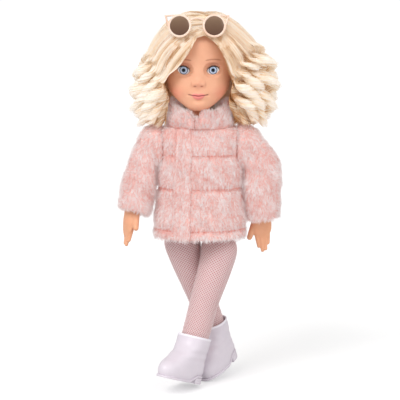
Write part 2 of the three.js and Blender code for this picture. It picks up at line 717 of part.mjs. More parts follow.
// Head: height, half width, front and back
const head = new THREE.Group();
head.name = 'head_group';
head.position.x = HEAD_X;
const headShape = smoothThrough([
  [CHIN_Z, 8, -35, -18],
  [CHIN_Z + 3, 14, -38, -8],
  [CHIN_Z + 8, 21.5, -39.5, 8],
  [CHIN_Z + 15, 29.5, -39.5, 20],
  [CHIN_Z + 24, 36.5, -39.5, 30],
  [CHIN_Z + 38, 39.8, -39, 38],
  [EYE_Z + 3, 41.2, -38.5, 43],
  [EYE_Z + 18, 41.5, -38, 45],
  [CHIN_Z + 83, 39.5, -35.5, 43],
  [CHIN_Z + 95, 34, -29.5, 37],
  [CHIN_Z + 104, 25, -21, 27],
  [CHIN_Z + 110, 10, -8, 11],
]);
const hump = (x, z, width, height) => Math.exp(-((x / width) ** 2) - (z / height) ** 2);
const faceRelief = (x, z) => {
  const away = Math.abs(x);
  const nose = 6 * hump(x, z - CHIN_Z - 32, 4.6, 5) + 2 * hump(x, z - CHIN_Z - 43, 4, 9);
  const sockets = -2.6 * hump(away - EYE_X, z - EYE_Z - 1, 9, 7);
  const lips = 1.6 * hump(x, z - CHIN_Z - 19, 10, 4.5);
  const chin = 1.4 * hump(x, z - CHIN_Z - 6, 8, 5);
  const cheeks = 1.4 * hump(away - 22, z - CHIN_Z - 27, 9, 9);
  return nose + sockets + lips + chin + cheeks;
};
function headRing(z, grow, count, relief) {
  const [side, front, back] = headShape(z);
  const middle = (front + back) / 2;
  const deep = (back - front) / 2 + grow;
  const ring = [];
  for (let step = 0; step < count; step += 1) {
    const even = (step / count) * TURN;
    const angle = relief ? even - 0.45 * Math.sin(even) : even;
    const x = (side + grow) * roundPower(Math.sin(angle), 2.2);
    const y = middle - deep * roundPower(Math.cos(angle), 2.2);
    const forward = relief && Math.cos(angle) > 0 ? faceRelief(x, z) * Math.cos(angle) ** 0.5 : 0;
    ring.push(point(x, y - forward, z));
  }
  return ring;
}
const faceRises = [0, 3, 8, 13, 17, 21, 25, 29, 32, 36, 42, 49, 56, 65, 75, 85, 95, 104, 110];
const faceLevels = faceRises.map((rise) => CHIN_Z + rise);
const skull = solid(loft(faceLevels.map((z) => headRing(z, 0, 30, true))));
const neckFoot = point(0, 0, neckDiscZ + NECK_DISC_THICK + GAP);
const neck = solid(bar(neckFoot, point(0, 0, CHIN_Z + 15), NECK_RADIUS, NECK_RADIUS + 1, 16));
const hollowLevels = levels(CHIN_Z + 13, CHIN_Z + 104, 6);
const hollow = solid(loft(hollowLevels.map((z) => headRing(z, -HEAD_WALL, 14, false))));
const neckBore = solid(bar(point(0, 0, TORSO_TOP_Z), point(0, 0, CHIN_Z + 33), NECK_BORE, NECK_BORE, 12));
const eyeSides = [1, -1];
const eyeSpaces = eyeSides.map((side) => {
  return ballSpace(side * EYE_X, EYE_Y, EYE_Z, EYEBALL_RADIUS + SKIN_GAP, 16);
});
const eyeOpenings = eyeSides.map((side) => {
  const halfHeight = EYE_OPEN_HEIGHT / 2;
  const halfWidth = EYE_OPEN_WIDTH / 2;
  const flat = ovalRing(0, 0, 0, halfWidth, halfWidth, halfHeight, halfHeight, 3, 16);
  const ring = (y) => flat.map((p) => point(p.x + side * EYE_X, y, EYE_Z - p.y));
  return solid(loft([ring(-60), ring(EYE_Y)]));
});
const headShell = without(joined(skull, neck), hollow, neckBore, ...eyeSpaces, ...eyeOpenings);
addPiece(head, 'head_shell', headShell, 'skin');

// Sleeping eyes on a bar, with a weight behind that shuts them
const irisBack = EYE_Y - EYEBALL_RADIUS + IRIS_THICK;
for (const [name, side] of [['left', 1], ['right', -1]]) {
  const x = side * EYE_X;
  const globe = solid(ball(x, EYE_Y, EYE_Z, EYEBALL_RADIUS, 16));
  const front = EYE_Y - EYEBALL_RADIUS - 1;
  const irisBar = (backY, radius) => {
    return solid(bar(point(x, backY, EYE_Z), point(x, front, EYE_Z), radius, radius, 14));
  };
  addPiece(head, `${name}_iris`, globe.intersect(irisBar(irisBack, IRIS_RADIUS)), 'iris');
  addPiece(head, `${name}_eyeball`, without(globe, irisBar(irisBack + GAP, IRIS_RADIUS + GAP)), 'eye');
  const lashSurface = (reach) => (u, v) => {
    const spread = THREE.MathUtils.lerp(-0.34, 0.34, u) * EYE_OPEN_WIDTH;
    const radius = Math.sqrt(EYEBALL_RADIUS ** 2 - spread ** 2) + GAP + reach;
    const lift = radians(LASH_LIFT) + (LASH_THICK / EYEBALL_RADIUS) * (v - 0.5);
    return point(x + spread, EYE_Y - radius * Math.cos(lift), EYE_Z + radius * Math.sin(lift));
  };
  addPiece(head, `${name}_lashes`, solid(slab(lashSurface(0), lashSurface(LASH_LENGTH), 8, 1)), 'lash');
}
const barHalf = EYE_X - EYEBALL_RADIUS - GAP;
const eyeBarAt = (half, radius, sides) => {
  return solid(bar(point(-half, EYE_Y, EYE_Z), point(half, EYE_Y, EYE_Z), radius, radius, sides));
};
addPiece(head, 'eye_bar', eyeBarAt(barHalf, EYE_BAR_RADIUS, 16), 'plastic');
const weightBack = EYE_Y + 20;
const weightEnds = [-WEIGHT_HALF, WEIGHT_HALF].map((x) => point(x, weightBack, EYE_Z));
const weightLump = solid(bar(...weightEnds, WEIGHT_RADIUS, WEIGHT_RADIUS, 16));
const weightArm = block(-1.5, 1.5, EYE_Y, weightBack, EYE_Z - 1.5, EYE_Z + 1.5);
const weightRing = eyeBarAt(3, EYE_BAR_RADIUS + 2, 16);
const weightBore = eyeBarAt(EYE_X, EYE_BAR_RADIUS + GAP, 16);
const eyeWeight = without(joined(weightLump, weightArm, weightRing), weightBore);
addPiece(head, 'eye_weight', eyeWeight, 'weight');

// Sunglasses pushed up on the wig
const glasses = new THREE.Group();
glasses.name = 'sunglasses_group';
glasses.position.set(...GLASSES_AT);
glasses.rotation.x = -radians(GLASSES_LEAN);
const lensX = LENS_SPACING / 2;
const plate = (rows) => {
  const outline = new THREE.Shape(rows.map(([x, z]) => new THREE.Vector2(x, z)));
  return solid(frontPlate(outline, 0, FRAME_THICK));
};
const roundPlate = (x, radius, fromY, toY) => {
  const circle = new THREE.Shape().absarc(x, 0, radius, 0, TURN);
  return solid(frontPlate(circle, fromY, toY));
};
const templeX = lensX + TIP_OUT - TEMPLE_WIDTH;
const templeBand = (x, halfWidth, below, above) => {
  const outline = [
    [0, TIP_UP - 1 - below],
    [TEMPLE_LENGTH, TIP_UP - 1 - TEMPLE_DROP - below],
    [TEMPLE_LENGTH, TIP_UP - 1 - TEMPLE_DROP + above],
    [0, TIP_UP - 1 + above],
  ];
  const shape = new THREE.Shape(outline.map(([y, z]) => new THREE.Vector2(y, z)));
  const geometry = new THREE.ExtrudeGeometry(shape, { depth: 2 * halfWidth, bevelEnabled: false });
  geometry.applyMatrix4(new THREE.Matrix4().makeBasis(point(0, 1, 0), point(0, 0, 1), point(1, 0, 0)));
  return solid(geometry.translate(x - halfWidth, 0, 0));
};
const wingHole = [[7.6, 1.6], [2.2, 2.2], [4, 7.4]];
const frameParts = [];
const frameHoles = [];
for (const side of [1, -1]) {
  const x = side * lensX;
  frameParts.push(roundPlate(x, RIM_RADIUS, 0, FRAME_THICK));
  const rimEnd = [[x, RIM_RADIUS], [x, 0], [x + side * RIM_RADIUS, -1]];
  frameParts.push(plate([...rimEnd, [x + side * TIP_OUT, TIP_UP]]));
  frameParts.push(templeBand(side * templeX, TEMPLE_WIDTH / 2, TEMPLE_HEIGHT, 0));
  frameHoles.push(roundPlate(x, LENS_RADIUS + GAP, -1, FRAME_THICK + 1));
  frameHoles.push(plate(wingHole.map(([inset, drop]) => [x + side * (TIP_OUT - inset), TIP_UP - drop])));
}
const bridgeHalf = lensX - RIM_RADIUS + 2;
const bridge = [[-bridgeHalf, 2], [0, 4], [bridgeHalf, 2], [bridgeHalf, 7.5], [0, 9], [-bridgeHalf, 7.5]];
frameParts.push(plate(bridge));
frameHoles.push(plate([[-4.5, 4.6], [0, 5.6], [4.5, 4.6], [4.5, 6.2], [0, 7.4], [-4.5, 6.2]]));
addPiece(glasses, 'sunglasses_frame', without(joined(...frameParts), ...frameHoles), 'frame');
const lensFrom = (FRAME_THICK - LENS_THICK) / 2;
addPiece(glasses, 'left_lens', roundPlate(lensX, LENS_RADIUS, lensFrom, lensFrom + LENS_THICK), 'lens');
addPiece(glasses, 'right_lens', roundPlate(-lensX, LENS_RADIUS, lensFrom, lensFrom + LENS_THICK), 'lens');
head.add(glasses);

// Wig: height, left reach, right reach, front and back
const wigShape = smoothThrough([
  [WIG_BOTTOM_Z, 70, 64, 18, 40],
  [CHIN_Z - 12, 84, 75, 24, 50],
  [CHIN_Z - 1, 93, 82, 28, 56],
  [CHIN_Z + 20, 96, 85, 32, 62],
  [CHIN_Z + 42, 100, 83, 36, 66],
  [CHIN_Z + 55, 97, 77, 41, 66],
  [CHIN_Z + 65, 90, 75, 43, 66],
  [CHIN_Z + 80, 69, 66, 43, 62],
  [CHIN_Z + 95, 58, 56, 37, 54],
  [CHIN_Z + 108, 46, 46, 27, 42],
  [CHIN_Z + 118, 29, 29, 15, 26],
  [WIG_TOP_Z, 9, 9, 4, 8],
]);
const wigRises = [-12, -2, 9, 20, 31, 42, 54, 65, 79, 93, 107, 118];
const wigLevels = [WIG_BOTTOM_Z, ...wigRises.map((rise) => CHIN_Z + rise), WIG_TOP_Z];
const wigRings = wigLevels.map((z) => {
  const [left, right, front, back] = wigShape(z);
  const ring = ovalRing(0, 0, z, left, right, front, back, 2.1, WIG_SIDES);
  return ring.map((p, step) => {
    const wave = 1 + WIG_WAVE * Math.sin((step / WIG_SIDES) * TURN * WIG_LOCKS + z / 7);
    return point(p.x * wave, p.y * wave, z);
  });
});
const windowRight = [[-43, 15], [-39, 35], [-31, 53], [-21, 68], [-7, 83], [8, 94]];
const windowLeft = [[18, 88], [30, 75], [38, 59], [43, 43], [50, 27], [52, -37]];
const windowEdge = (rows) => rows.map(([x, rise]) => new THREE.Vector2(x, CHIN_Z + rise));
const faceWindow = new THREE.Shape();
faceWindow.moveTo(-43, CHIN_Z - 37);
faceWindow.splineThru(windowEdge(windowRight));
faceWindow.splineThru(windowEdge(windowLeft));
faceWindow.closePath();
const windowCut = solid(frontPlate(faceWindow, -120, -4));
const capRises = [0, 6, 15, 24, 38, 53, 68, 83, 95, 104, 110];
const headSpace = solid(loft(capRises.map((rise) => headRing(CHIN_Z + rise, WIG_GAP, 20, false))));
const collarAxis = [CHIN_Z - 37, WIG_COLLAR_TOP].map((z) => point(-HEAD_X, 0, z));
const collarSpace = solid(bar(...collarAxis, WIG_COLLAR_SPACE, WIG_COLLAR_SPACE, 24));
glasses.updateMatrix();
const templeSlots = [1, -1].map((side) => {
  const slot = templeBand(side * templeX, TEMPLE_WIDTH / 2 + 1, TEMPLE_HEIGHT + 1, 80);
  return slot.transform(glasses.matrix.toArray());
});
const wig = without(solid(loft(wigRings)), windowCut, headSpace, collarSpace, ...templeSlots);
const far = 150;
const half = GAP / 2;
const fringeBox = block(-far, far, -far, FRINGE_BACK - half, FRINGE_BOTTOM + half, 2 * WIG_TOP_Z);
const fringeSpace = block(-far, far, -far, FRINGE_BACK + half, FRINGE_BOTTOM - half, 2 * WIG_TOP_Z);
const crownBox = block(-far, far, -far, far, WIG_PARTING + half, 2 * WIG_TOP_Z);
const lowerBox = block(-far, far, -far, far, 0, WIG_PARTING - half);
const lowerWig = without(wig.intersect(lowerBox), fringeSpace);
addPiece(head, 'hair_fringe', wig.intersect(fringeBox), 'hair');
addPiece(head, 'hair_crown', without(wig.intersect(crownBox), fringeSpace), 'hair');
const sideBox = (from, to) => block(from, to, -far, BACK_CURLS_FROM - half, 0, 2 * WIG_TOP_Z);
addPiece(head, 'hair_left_curls', lowerWig.intersect(sideBox(0, far)), 'hair');
addPiece(head, 'hair_right_curls', lowerWig.intersect(sideBox(-far, 0)), 'hair');
const backBox = block(-far, far, BACK_CURLS_FROM + half, far, 0, 2 * WIG_TOP_Z);
addPiece(head, 'hair_back_curls', lowerWig.intersect(backBox), 'hair');
doll.add(head);

export default doll;
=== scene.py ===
"""Looks of the jointed play doll: skin, eyes, wig, sunglasses, fur jacket, net tights and boots.

Lengths are in millimetres, apart from the camera's. Shapes are written as in the part's source, and STAND moves
them to the shared frame.
"""

import math

import bpy
import numpy as np
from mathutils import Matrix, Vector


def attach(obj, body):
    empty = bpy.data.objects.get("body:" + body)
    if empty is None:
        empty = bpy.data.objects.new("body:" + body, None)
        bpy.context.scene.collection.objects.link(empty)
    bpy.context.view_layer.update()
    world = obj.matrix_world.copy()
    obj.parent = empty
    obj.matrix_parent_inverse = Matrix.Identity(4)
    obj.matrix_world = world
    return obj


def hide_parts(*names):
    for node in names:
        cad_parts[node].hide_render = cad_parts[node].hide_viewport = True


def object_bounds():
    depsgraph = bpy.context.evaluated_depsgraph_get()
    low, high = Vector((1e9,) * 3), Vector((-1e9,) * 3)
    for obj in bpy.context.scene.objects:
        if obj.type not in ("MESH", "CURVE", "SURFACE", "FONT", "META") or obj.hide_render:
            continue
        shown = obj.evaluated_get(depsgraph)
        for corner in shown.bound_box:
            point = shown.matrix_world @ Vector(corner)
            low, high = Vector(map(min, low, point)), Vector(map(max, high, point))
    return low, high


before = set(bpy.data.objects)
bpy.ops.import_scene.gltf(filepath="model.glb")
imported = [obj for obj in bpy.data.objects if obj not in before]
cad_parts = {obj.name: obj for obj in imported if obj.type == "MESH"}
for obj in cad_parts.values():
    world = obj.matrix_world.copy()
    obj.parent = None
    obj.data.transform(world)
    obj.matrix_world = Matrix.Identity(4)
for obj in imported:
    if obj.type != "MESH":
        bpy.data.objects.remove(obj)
cad_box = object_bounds()

MM = 0.001
STAND = np.array([0.0, 12.6, 9.3])
HEAD_X = -2.0
HEAD_UP = np.array([0.0, 0.0, 4.0])
HEAD_AT = STAND + HEAD_UP + [HEAD_X, 0.0, 0.0]
UP = np.array([0, 0, 1.0])
DOWN = -UP
SIDES = (("left", 1), ("right", -1))
rng = np.random.default_rng(7)


# Building tools

def smooth_through(rows):
    """Smooth curves through rows of a position and its values: cubic pieces with the slope of the neighbours."""
    rows = np.array(rows, float)
    places, values = rows[:, 0], rows[:, 1:]
    before = np.maximum(np.arange(len(rows)) - 1, 0)
    after = np.minimum(np.arange(len(rows)) + 1, len(rows) - 1)
    slopes = (values[after] - values[before]) / (places[after] - places[before])[:, None]

    def at(position):
        position = np.clip(np.asarray(position, float), places[0], places[-1])
        row = np.clip(np.searchsorted(places, position, side="left") - 1, 0, len(places) - 2)
        span = (places[row + 1] - places[row])[..., None]
        t = ((position - places[row]) / span[..., 0])[..., None]
        low = (2 * t**3 - 3 * t**2 + 1) * values[row] + (t**3 - 2 * t**2 + t) * slopes[row] * span
        high = (3 * t**2 - 2 * t**3) * values[row + 1] + (t**3 - t**2) * slopes[row + 1] * span
        return np.moveaxis(low + high, -1, 0)

    return at


def smoothstep(low, high, value):
    """0 below low, 1 above high and a smooth rise between."""
    t = np.clip((value - low) / (high - low), 0, 1)
    return t * t * (3 - 2 * t)


def bell(distance, width):
    """1 at no distance, falling off smoothly over the width."""
    return np.exp(-((distance / width) ** 2))


def hump(x, z, width, height):
    """Round hill of height 1 at the middle."""
    return np.exp(-((x / width) ** 2) - (z / height) ** 2)


def round_power(value, power):
    """Signed power that squares off a circle."""
    return np.sign(value) * np.abs(value) ** (2 / power)


def all_round(count):
    """Angles of points spaced evenly round a ring."""
    return np.arange(count) / count * 2 * np.pi


def oval(angle, power, grow, half, front, back, right=None):
    """Level outline from the front round by the left side: x and y of a squared-off oval, grown on all sides."""
    across = round_power(np.sin(angle), power)
    along = round_power(np.cos(angle), power)
    right = half if right is None else right
    x = across * np.where(across > 0, half + grow, right + grow)
    return x, -along * np.where(along > 0, front + grow, back + grow)


def xyz(x, y, z):
    """Points from their coordinates, brought to one shape."""
    return np.stack(np.broadcast_arrays(x, y, z), -1)


def unit(vectors):
    """Vectors of length 1."""
    return vectors / np.maximum(np.linalg.norm(vectors, axis=-1, keepdims=True), 1e-9)


def dot(a, b):
    """Product of vectors along the last axis, which is kept."""
    return np.sum(a * b, -1, keepdims=True)


def turn_matrix(pitch, lean, twist):
    """Turn by twist about Z, then pitch about X, then lean about Y, in degrees."""
    a, b, c = np.radians([pitch, lean, twist])
    about_x = np.array([[1, 0, 0], [0, np.cos(a), -np.sin(a)], [0, np.sin(a), np.cos(a)]])
    about_y = np.array([[np.cos(b), 0, np.sin(b)], [0, 1, 0], [-np.sin(b), 0, np.cos(b)]])
    about_z = np.array([[np.cos(c), -np.sin(c), 0], [np.sin(c), np.cos(c), 0], [0, 0, 1]])
    return about_y @ about_x @ about_z


def ripple(points, size, seed):
    """Smooth wandering value from -1 to 1: a sum of sine waves in fixed random directions."""
    local = np.random.default_rng(seed)
    total = np.zeros(points.shape[:-1])
    for _ in range(6):
        way = unit(local.normal(size=3)) * local.uniform(0.7, 1.6) * 2 * np.pi / size
        total += np.sin(points @ way + local.uniform(0, 2 * np.pi))
    return total / 3.2


def drift(points, size, seed):
    """Wandering vector with a ripple of its own for each axis."""
    return np.stack([ripple(points, size, seed + axis) for axis in range(3)], -1)


def placed(name, mesh):
    """Object in the scene for a mesh, shaded smooth."""
    mesh.polygons.foreach_set("use_smooth", np.ones(len(mesh.polygons), bool))
    piece = bpy.data.objects.new(name, mesh)
    bpy.context.scene.collection.objects.link(piece)
    return piece


def mesh_piece(name, points, quads=None, triangles=None, values=None, uv=None):
    """Mesh object from points and arrays of quads and triangles, with values and UV per point."""
    mesh = bpy.data.meshes.new(name)
    parts = [np.asarray(f, np.int32) for f in (quads, triangles) if f is not None and len(f)]
    loops = np.concatenate([f.ravel() for f in parts])
    sizes = np.concatenate([np.full(len(f), f.shape[1], np.int32) for f in parts])
    mesh.vertices.add(len(points))
    mesh.vertices.foreach_set("co", (np.asarray(points, np.float32) * MM).ravel())
    mesh.loops.add(len(loops))
    mesh.loops.foreach_set("vertex_index", loops)
    mesh.polygons.add(len(sizes))
    mesh.polygons.foreach_set("loop_start", np.concatenate([[0], np.cumsum(sizes)[:-1]]).astype(np.int32))
    mesh.update(calc_edges=True)
    for key, value in (values or {}).items():
        layer = mesh.attributes.new(key, "FLOAT", "POINT")
        layer.data.foreach_set("value", np.asarray(value, np.float32).ravel())
    if uv is not None:
        layer = mesh.uv_layers.new(name="UVMap")
        layer.data.foreach_set("uv", np.asarray(uv, np.float32)[loops].ravel())
    return placed(name, mesh)


def mesh_arrays(piece):
    """Points of a piece and the corner numbers of its triangles."""
    mesh = piece.data
    mesh.calc_loop_triangles()
    points = np.empty(len(mesh.vertices) * 3)
    mesh.vertices.foreach_get("co", points)
    corners = np.empty(len(mesh.loop_triangles) * 3, np.int32)
    mesh.loop_triangles.foreach_get("vertices", corners)
    return points.reshape(-1, 3) / MM, corners.reshape(-1, 3)


def grid_quads(rows, columns, wrap=False, first=0):
    """Faces of a grid of points, row by row, closed round in the columns where wrap is set."""
    low = np.arange(rows - 1)[:, None] * columns
    column = np.arange(columns if wrap else columns - 1)
    after = (column + 1) % columns
    high = low + columns
    return first + np.stack([low + column, low + after, high + after, high + column], -1).reshape(-1, 4)


def lofted(name, rings, values=None):
    """Closed piece over rings (rows, points round, 3) that rise with the rows, with a fan at each end."""
    rows, count = rings.shape[:2]
    points = np.concatenate([rings.reshape(-1, 3), rings[0].mean(0)[None], rings[-1].mean(0)[None]])
    step = np.arange(count)
    after = (step + 1) % count
    low, high = rows * count, rows * count + 1
    bottom = np.stack([np.full(count, low), after, step], -1)
    top = np.stack([np.full(count, high), low - count + step, low - count + after], -1)
    grown = {k: np.concatenate([v.ravel(), [v[0].mean()], [v[-1].mean()]]) for k, v in (values or {}).items()}
    return mesh_piece(name, points, grid_quads(rows, count, True), np.concatenate([bottom, top]), grown)


def shell_piece(name, inner, outer):
    """Closed slab between two grids of points (rows, columns, 3): both faces and the four edges."""
    rows, columns = outer.shape[:2]
    count = rows * columns
    index = np.arange(count).reshape(rows, columns)
    edge = np.concatenate([index[0, :-1], index[:-1, -1], index[-1, :0:-1], index[:0:-1, 0]])
    after = np.roll(edge, -1)
    rim = np.stack([edge + count, after + count, after, edge], -1)
    faces = np.concatenate([grid_quads(rows, columns), grid_quads(rows, columns, first=count)[:, ::-1], rim])
    return mesh_piece(name, np.concatenate([outer.reshape(-1, 3), inner.reshape(-1, 3)]), faces)


def ribbons(name, paths, widths, sides, values):
    """Thin ribbons along paths (strands, steps, 3): each point is doubled to both sides by half the width."""
    strands, steps = paths.shape[:2]
    half = 0.5 * widths[..., None] * sides
    points = np.stack([paths - half, paths + half], 2).reshape(-1, 3)
    base = (np.arange(strands)[:, None] * steps + np.arange(steps - 1)[None, :])[..., None] * 2
    faces = (base + np.array([0, 1, 3, 2])).reshape(-1, 4)
    doubled = {k: np.repeat(np.broadcast_to(v, (strands, steps)).ravel(), 2) for k, v in values.items()}
    return mesh_piece(name, points, faces, None, doubled)


def remeshed(name, parts, voxel, smoothing):
    """One closed skin over overlapping solids: joined, rebuilt on even cells and smoothed."""
    points, faces, first = [], [], 0
    for part in parts:
        corners, triangles = mesh_arrays(part)
        points.append(corners)
        faces.append(triangles + first)
        first += len(corners)
        bpy.data.objects.remove(part)
    rough = mesh_piece(name + "_rough", np.concatenate(points), None, np.concatenate(faces))
    remesh = rough.modifiers.new("skin", "REMESH")
    remesh.mode = "VOXEL"
    remesh.voxel_size = voxel * MM
    smooth = rough.modifiers.new("smooth", "SMOOTH")
    smooth.iterations = smoothing
    smooth.factor = 0.5
    bpy.context.view_layer.update()
    mesh = bpy.data.meshes.new_from_object(rough.evaluated_get(bpy.context.evaluated_depsgraph_get()))
    bpy.data.objects.remove(rough)
    mesh.name = name
    return placed(name, mesh)


def capsule(name, start, stop, radius, end_radius):
    """Round bar with domed ends between two points."""
    way = unit(stop - start)
    side = unit(np.cross(way, [0.31, 0.95, 0.17]))
    other = np.cross(way, side)
    turn = all_round(20)[:, None]
    t = np.linspace(0, 1, 15)
    lead = np.clip((t - 0.3) / 0.4, 0, 1)
    dome = np.sqrt(np.clip(1 - np.clip(np.abs(t - 0.5) / 0.3 - 2 / 3, 0, 0.99) ** 2, 0.01, 1))
    size = (radius + (end_radius - radius) * lead) * dome
    past = np.sqrt(np.clip(1 - dome**2, 0, 1))
    slide = np.where(t < 0.3, -radius * past, np.where(t > 0.7, end_radius * past, 0))
    centre = start + (stop - start) * lead[:, None] + way * slide[:, None]
    ring = side * np.cos(turn) + other * np.sin(turn)
    return lofted(name, centre[:, None] + ring * size[:, None, None])


# Materials

def rgb(red, green, blue):
    """Linear colour of a screen colour from 0 to 255."""
    c = np.array([red, green, blue]) / 255
    linear = np.where(c <= 0.04045, c / 12.92, ((c + 0.055) / 1.055) ** 2.4)
    return (*linear.tolist(), 1.0)


class Look:
    """A node material around one Principled shader, with short ways to add and join nodes."""

    def __init__(self, name, **sockets):
        self.material = bpy.data.materials.new(name)
        self.material.use_nodes = True
        self.tree = self.material.node_tree
        self.shader = self.tree.nodes["Principled BSDF"]
        self.set(**sockets)

    def put(self, socket, value):
        if isinstance(value, bpy.types.NodeSocket):
            self.tree.links.new(value, socket)
        else:
            socket.default_value = value

    def set(self, **sockets):
        for key, value in sockets.items():
            self.put(self.shader.inputs[key.replace("_", " ").title().replace("Ior", "IOR")], value)

    def node(self, kind, inputs=None, **settings):
        made = self.tree.nodes.new("ShaderNode" + kind)
        for key, value in settings.items():
            setattr(made, key, value)
        for key, value in (inputs or {}).items():
            self.put(made.inputs[key], value)
        return made

    def value(self, name):
        return self.node("Attribute", attribute_name=name).outputs["Fac"]

    def coords(self):
        return self.node("TexCoord").outputs["Object"]

    def noise(self, scale, detail=3.0, rough=0.55, vector=None):
        made = self.node("TexNoise", {"Scale": scale, "Detail": detail, "Roughness": rough})
        self.put(made.inputs["Vector"], vector or self.coords())
        return made.outputs["Fac"]

    def math(self, operation, a, b=0.0):
        return self.node("Math", {0: a, 1: b}, operation=operation).outputs[0]

    def plus(self, base, extra, factor):
        """The base with so much of the extra added."""
        return self.math("ADD", base, self.math("MULTIPLY", extra, factor))

    def mix(self, amount, a, b):
        made = self.node("Mix", data_type="RGBA")
        for socket, value in zip((made.inputs[0], made.inputs[6], made.inputs[7]), (amount, a, b)):
            self.put(socket, value)
        return made.outputs[2]

    def ramp(self, amount, *stops):
        """Colour along stops of a place and a screen colour."""
        made = self.node("ValToRGB", {"Fac": amount})
        elements = made.color_ramp.elements
        while len(elements) < len(stops):
            elements.new(0.5)
        for element, (place, colour) in zip(elements, stops):
            element.position = place
            element.color = rgb(*colour)
        return made.outputs["Color"]

    def bump(self, height, strength, distance):
        made = self.node("Bump", {"Strength": strength, "Distance": distance, "Height": height})
        self.set(normal=made.outputs["Normal"])

    def paint(self, colour, painted_glow=0.0):
        """Base colour, with a painted glow of the same colour that stands in for light bounced round and lifts the
        shade.
        """
        self.set(base_color=colour, emission_color=colour, emission_strength=painted_glow)

    def let_through(self, colour, amount):
        """Let part of the light pass through, as in fine fibres."""
        through = self.node("BsdfTranslucent", {"Color": colour})
        mixed = self.node("MixShader", {0: amount, 1: self.shader.outputs[0], 2: through.outputs[0]})
        self.put(self.tree.nodes["Material Output"].inputs["Surface"], mixed.outputs[0])


def mottled(name, spots, dark, light, grain=None, painted_glow=0.0, **sockets):
    """Plain matter: noise of a scale and detail between two screen colours, and a grain of a scale, detail, strength
    and depth in metres."""
    look = Look(name, **sockets)
    look.paint(look.mix(look.noise(*spots), rgb(*dark), rgb(*light)), painted_glow)
    if grain:
        look.bump(look.noise(*grain[:2]), *grain[2:])
    return look


def dress(piece, look, body, slot, *nodes):
    """Give a piece its material and the body that it rides on, and hide the CAD nodes that it stands for. The slot is
    not used.
    """
    piece.data.materials.clear()
    piece.data.materials.append(look.material)
    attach(piece, body)
    if nodes:
        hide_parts(*nodes)
    return piece


# Studio

# Name, strength, spread and turn of each lamp, in degrees
LAMPS = (("key", 1.6, 35, (48, 0, -38)), ("fill", 0.8, 60, (64, 0, 48)))
# Light of the sky and grey of the floor: towards the part, and as the camera sees them
SKY_LIGHT, SKY_SEEN = 0.62, 1.05
FLOOR_GREY, FLOOR_SEEN, FLOOR_GLOW = 0.72, 0.66, 0.4
FLOOR_HALF = 9000
WHITE = (1, 1, 1, 1)
# Metres
CAMERA_TARGET = np.array((0.0, 0.0126, 0.2337))
CAMERA_DISTANCE, CAMERA_RISE, CAMERA_SPAN = 1.8, 0.255, 0.505
SENSOR_WIDTH = 36


def make_lights(scene):
    """Soft light from all round, one broad light from the upper left and one from the right."""
    world = bpy.data.worlds.new("studio")
    scene.world = world
    world.use_nodes = True
    tree = world.node_tree
    sky = tree.nodes["Background"]
    sky.inputs["Color"].default_value = WHITE
    level = tree.nodes.new("ShaderNodeMapRange")
    level.inputs["To Min"].default_value = SKY_LIGHT
    level.inputs["To Max"].default_value = SKY_SEEN
    tree.links.new(tree.nodes.new("ShaderNodeLightPath").outputs["Is Camera Ray"], level.inputs["Value"])
    tree.links.new(level.outputs["Result"], sky.inputs["Strength"])
    for name, strength, spread, turn in LAMPS:
        lamp = bpy.data.lights.new(name, "SUN")
        lamp.energy = strength
        lamp.angle = math.radians(spread)
        light = bpy.data.objects.new(name, lamp)
        light.rotation_euler = [math.radians(a) for a in turn]
        scene.collection.objects.link(light)


def make_floor():
    """White floor that still takes a shadow."""
    low = cad_box[0][2] / MM
    corners = [[x * FLOOR_HALF, y * FLOOR_HALF, low] for x, y in ((-1, -1), (1, -1), (1, 1), (-1, 1))]
    floor = mesh_piece("studio_floor", corners, [[0, 1, 2, 3]])
    look = Look("floor_paper", roughness=0.9)
    seen = look.node("LightPath").outputs["Is Camera Ray"]
    look.set(base_color=look.mix(seen, (*[FLOOR_GREY] * 3, 1), (*[FLOOR_SEEN] * 3, 1)))
    look.set(emission_color=WHITE, emission_strength=look.math("MULTIPLY", seen, FLOOR_GLOW))
    floor.data.materials.append(look.material)


def make_camera(scene):
    """Camera in front of the doll, a little above it."""
    camera = bpy.data.objects.new("photo_camera", bpy.data.cameras.new("photo_camera"))
    camera.data.sensor_width = SENSOR_WIDTH
    camera.data.lens = SENSOR_WIDTH * CAMERA_DISTANCE / CAMERA_SPAN
    camera.location = CAMERA_TARGET + [0, -CAMERA_DISTANCE, CAMERA_RISE]
    camera.rotation_euler = (math.pi / 2 - math.atan2(CAMERA_RISE, CAMERA_DISTANCE), 0, 0)
    scene.collection.objects.link(camera)
    scene.camera = camera


# Head

EYE_X, EYE_Y, EYE_Z, EYE_RADIUS = 18.2, -21.8, 387.0, 10.5
EYE_HALF, LID_RISE, LID_DROP, LASH_RISE = 7.7, 5.1, 4.7, 4.8
MOUTH_Z, BROW_Z = 356.0, 399.0
CHIN_Z, HEAD_TOP_Z = 337.0, 447.0
NECK_LOW_Z, NECK_TOP_Z = 311.4, 352
LINER, LID_SKIN = (74, 46, 38), (226, 164, 134)
FACE_TONES = (224, 163, 130), (233, 176, 144)
LIMB_TONES = (226, 160, 122), (240, 180, 144)
# The lash-line colour also paints shade inside the eye openings; the nostril colour paints shade in the nose and
# eyeshadow.
FACE_SHADES = {"blush": (240, 152, 128), "lip_soft": (228, 128, 126), "lip_line": (128, 50, 48),
               "brow": (156, 88, 62), "liner_and_hole_shade": LINER, "nostril": (164, 84, 62)}
SKIN_RADIUS = (0.006, 0.003, 0.002)
# Height, half width, front and back
head_shape = smooth_through([
    [337, 8, -35, -18], [340, 14, -38, -8], [345, 21.5, -39.5, 8], [352, 29.5, -39.5, 20],
    [361, 36.5, -39.5, 30], [375, 39.8, -39, 38], [390, 41.2, -38.5, 43], [405, 41.5, -38, 45],
    [420, 39.5, -35.5, 43], [432, 34, -29.5, 37], [441, 25, -21, 27], [447, 10, -8, 11],
])


def lid_arch(u):
    """Arch of the upper lid: 1 in the middle of the eye and 0 at its corners."""
    return (1 - np.abs(u) ** 2.2) ** 0.75


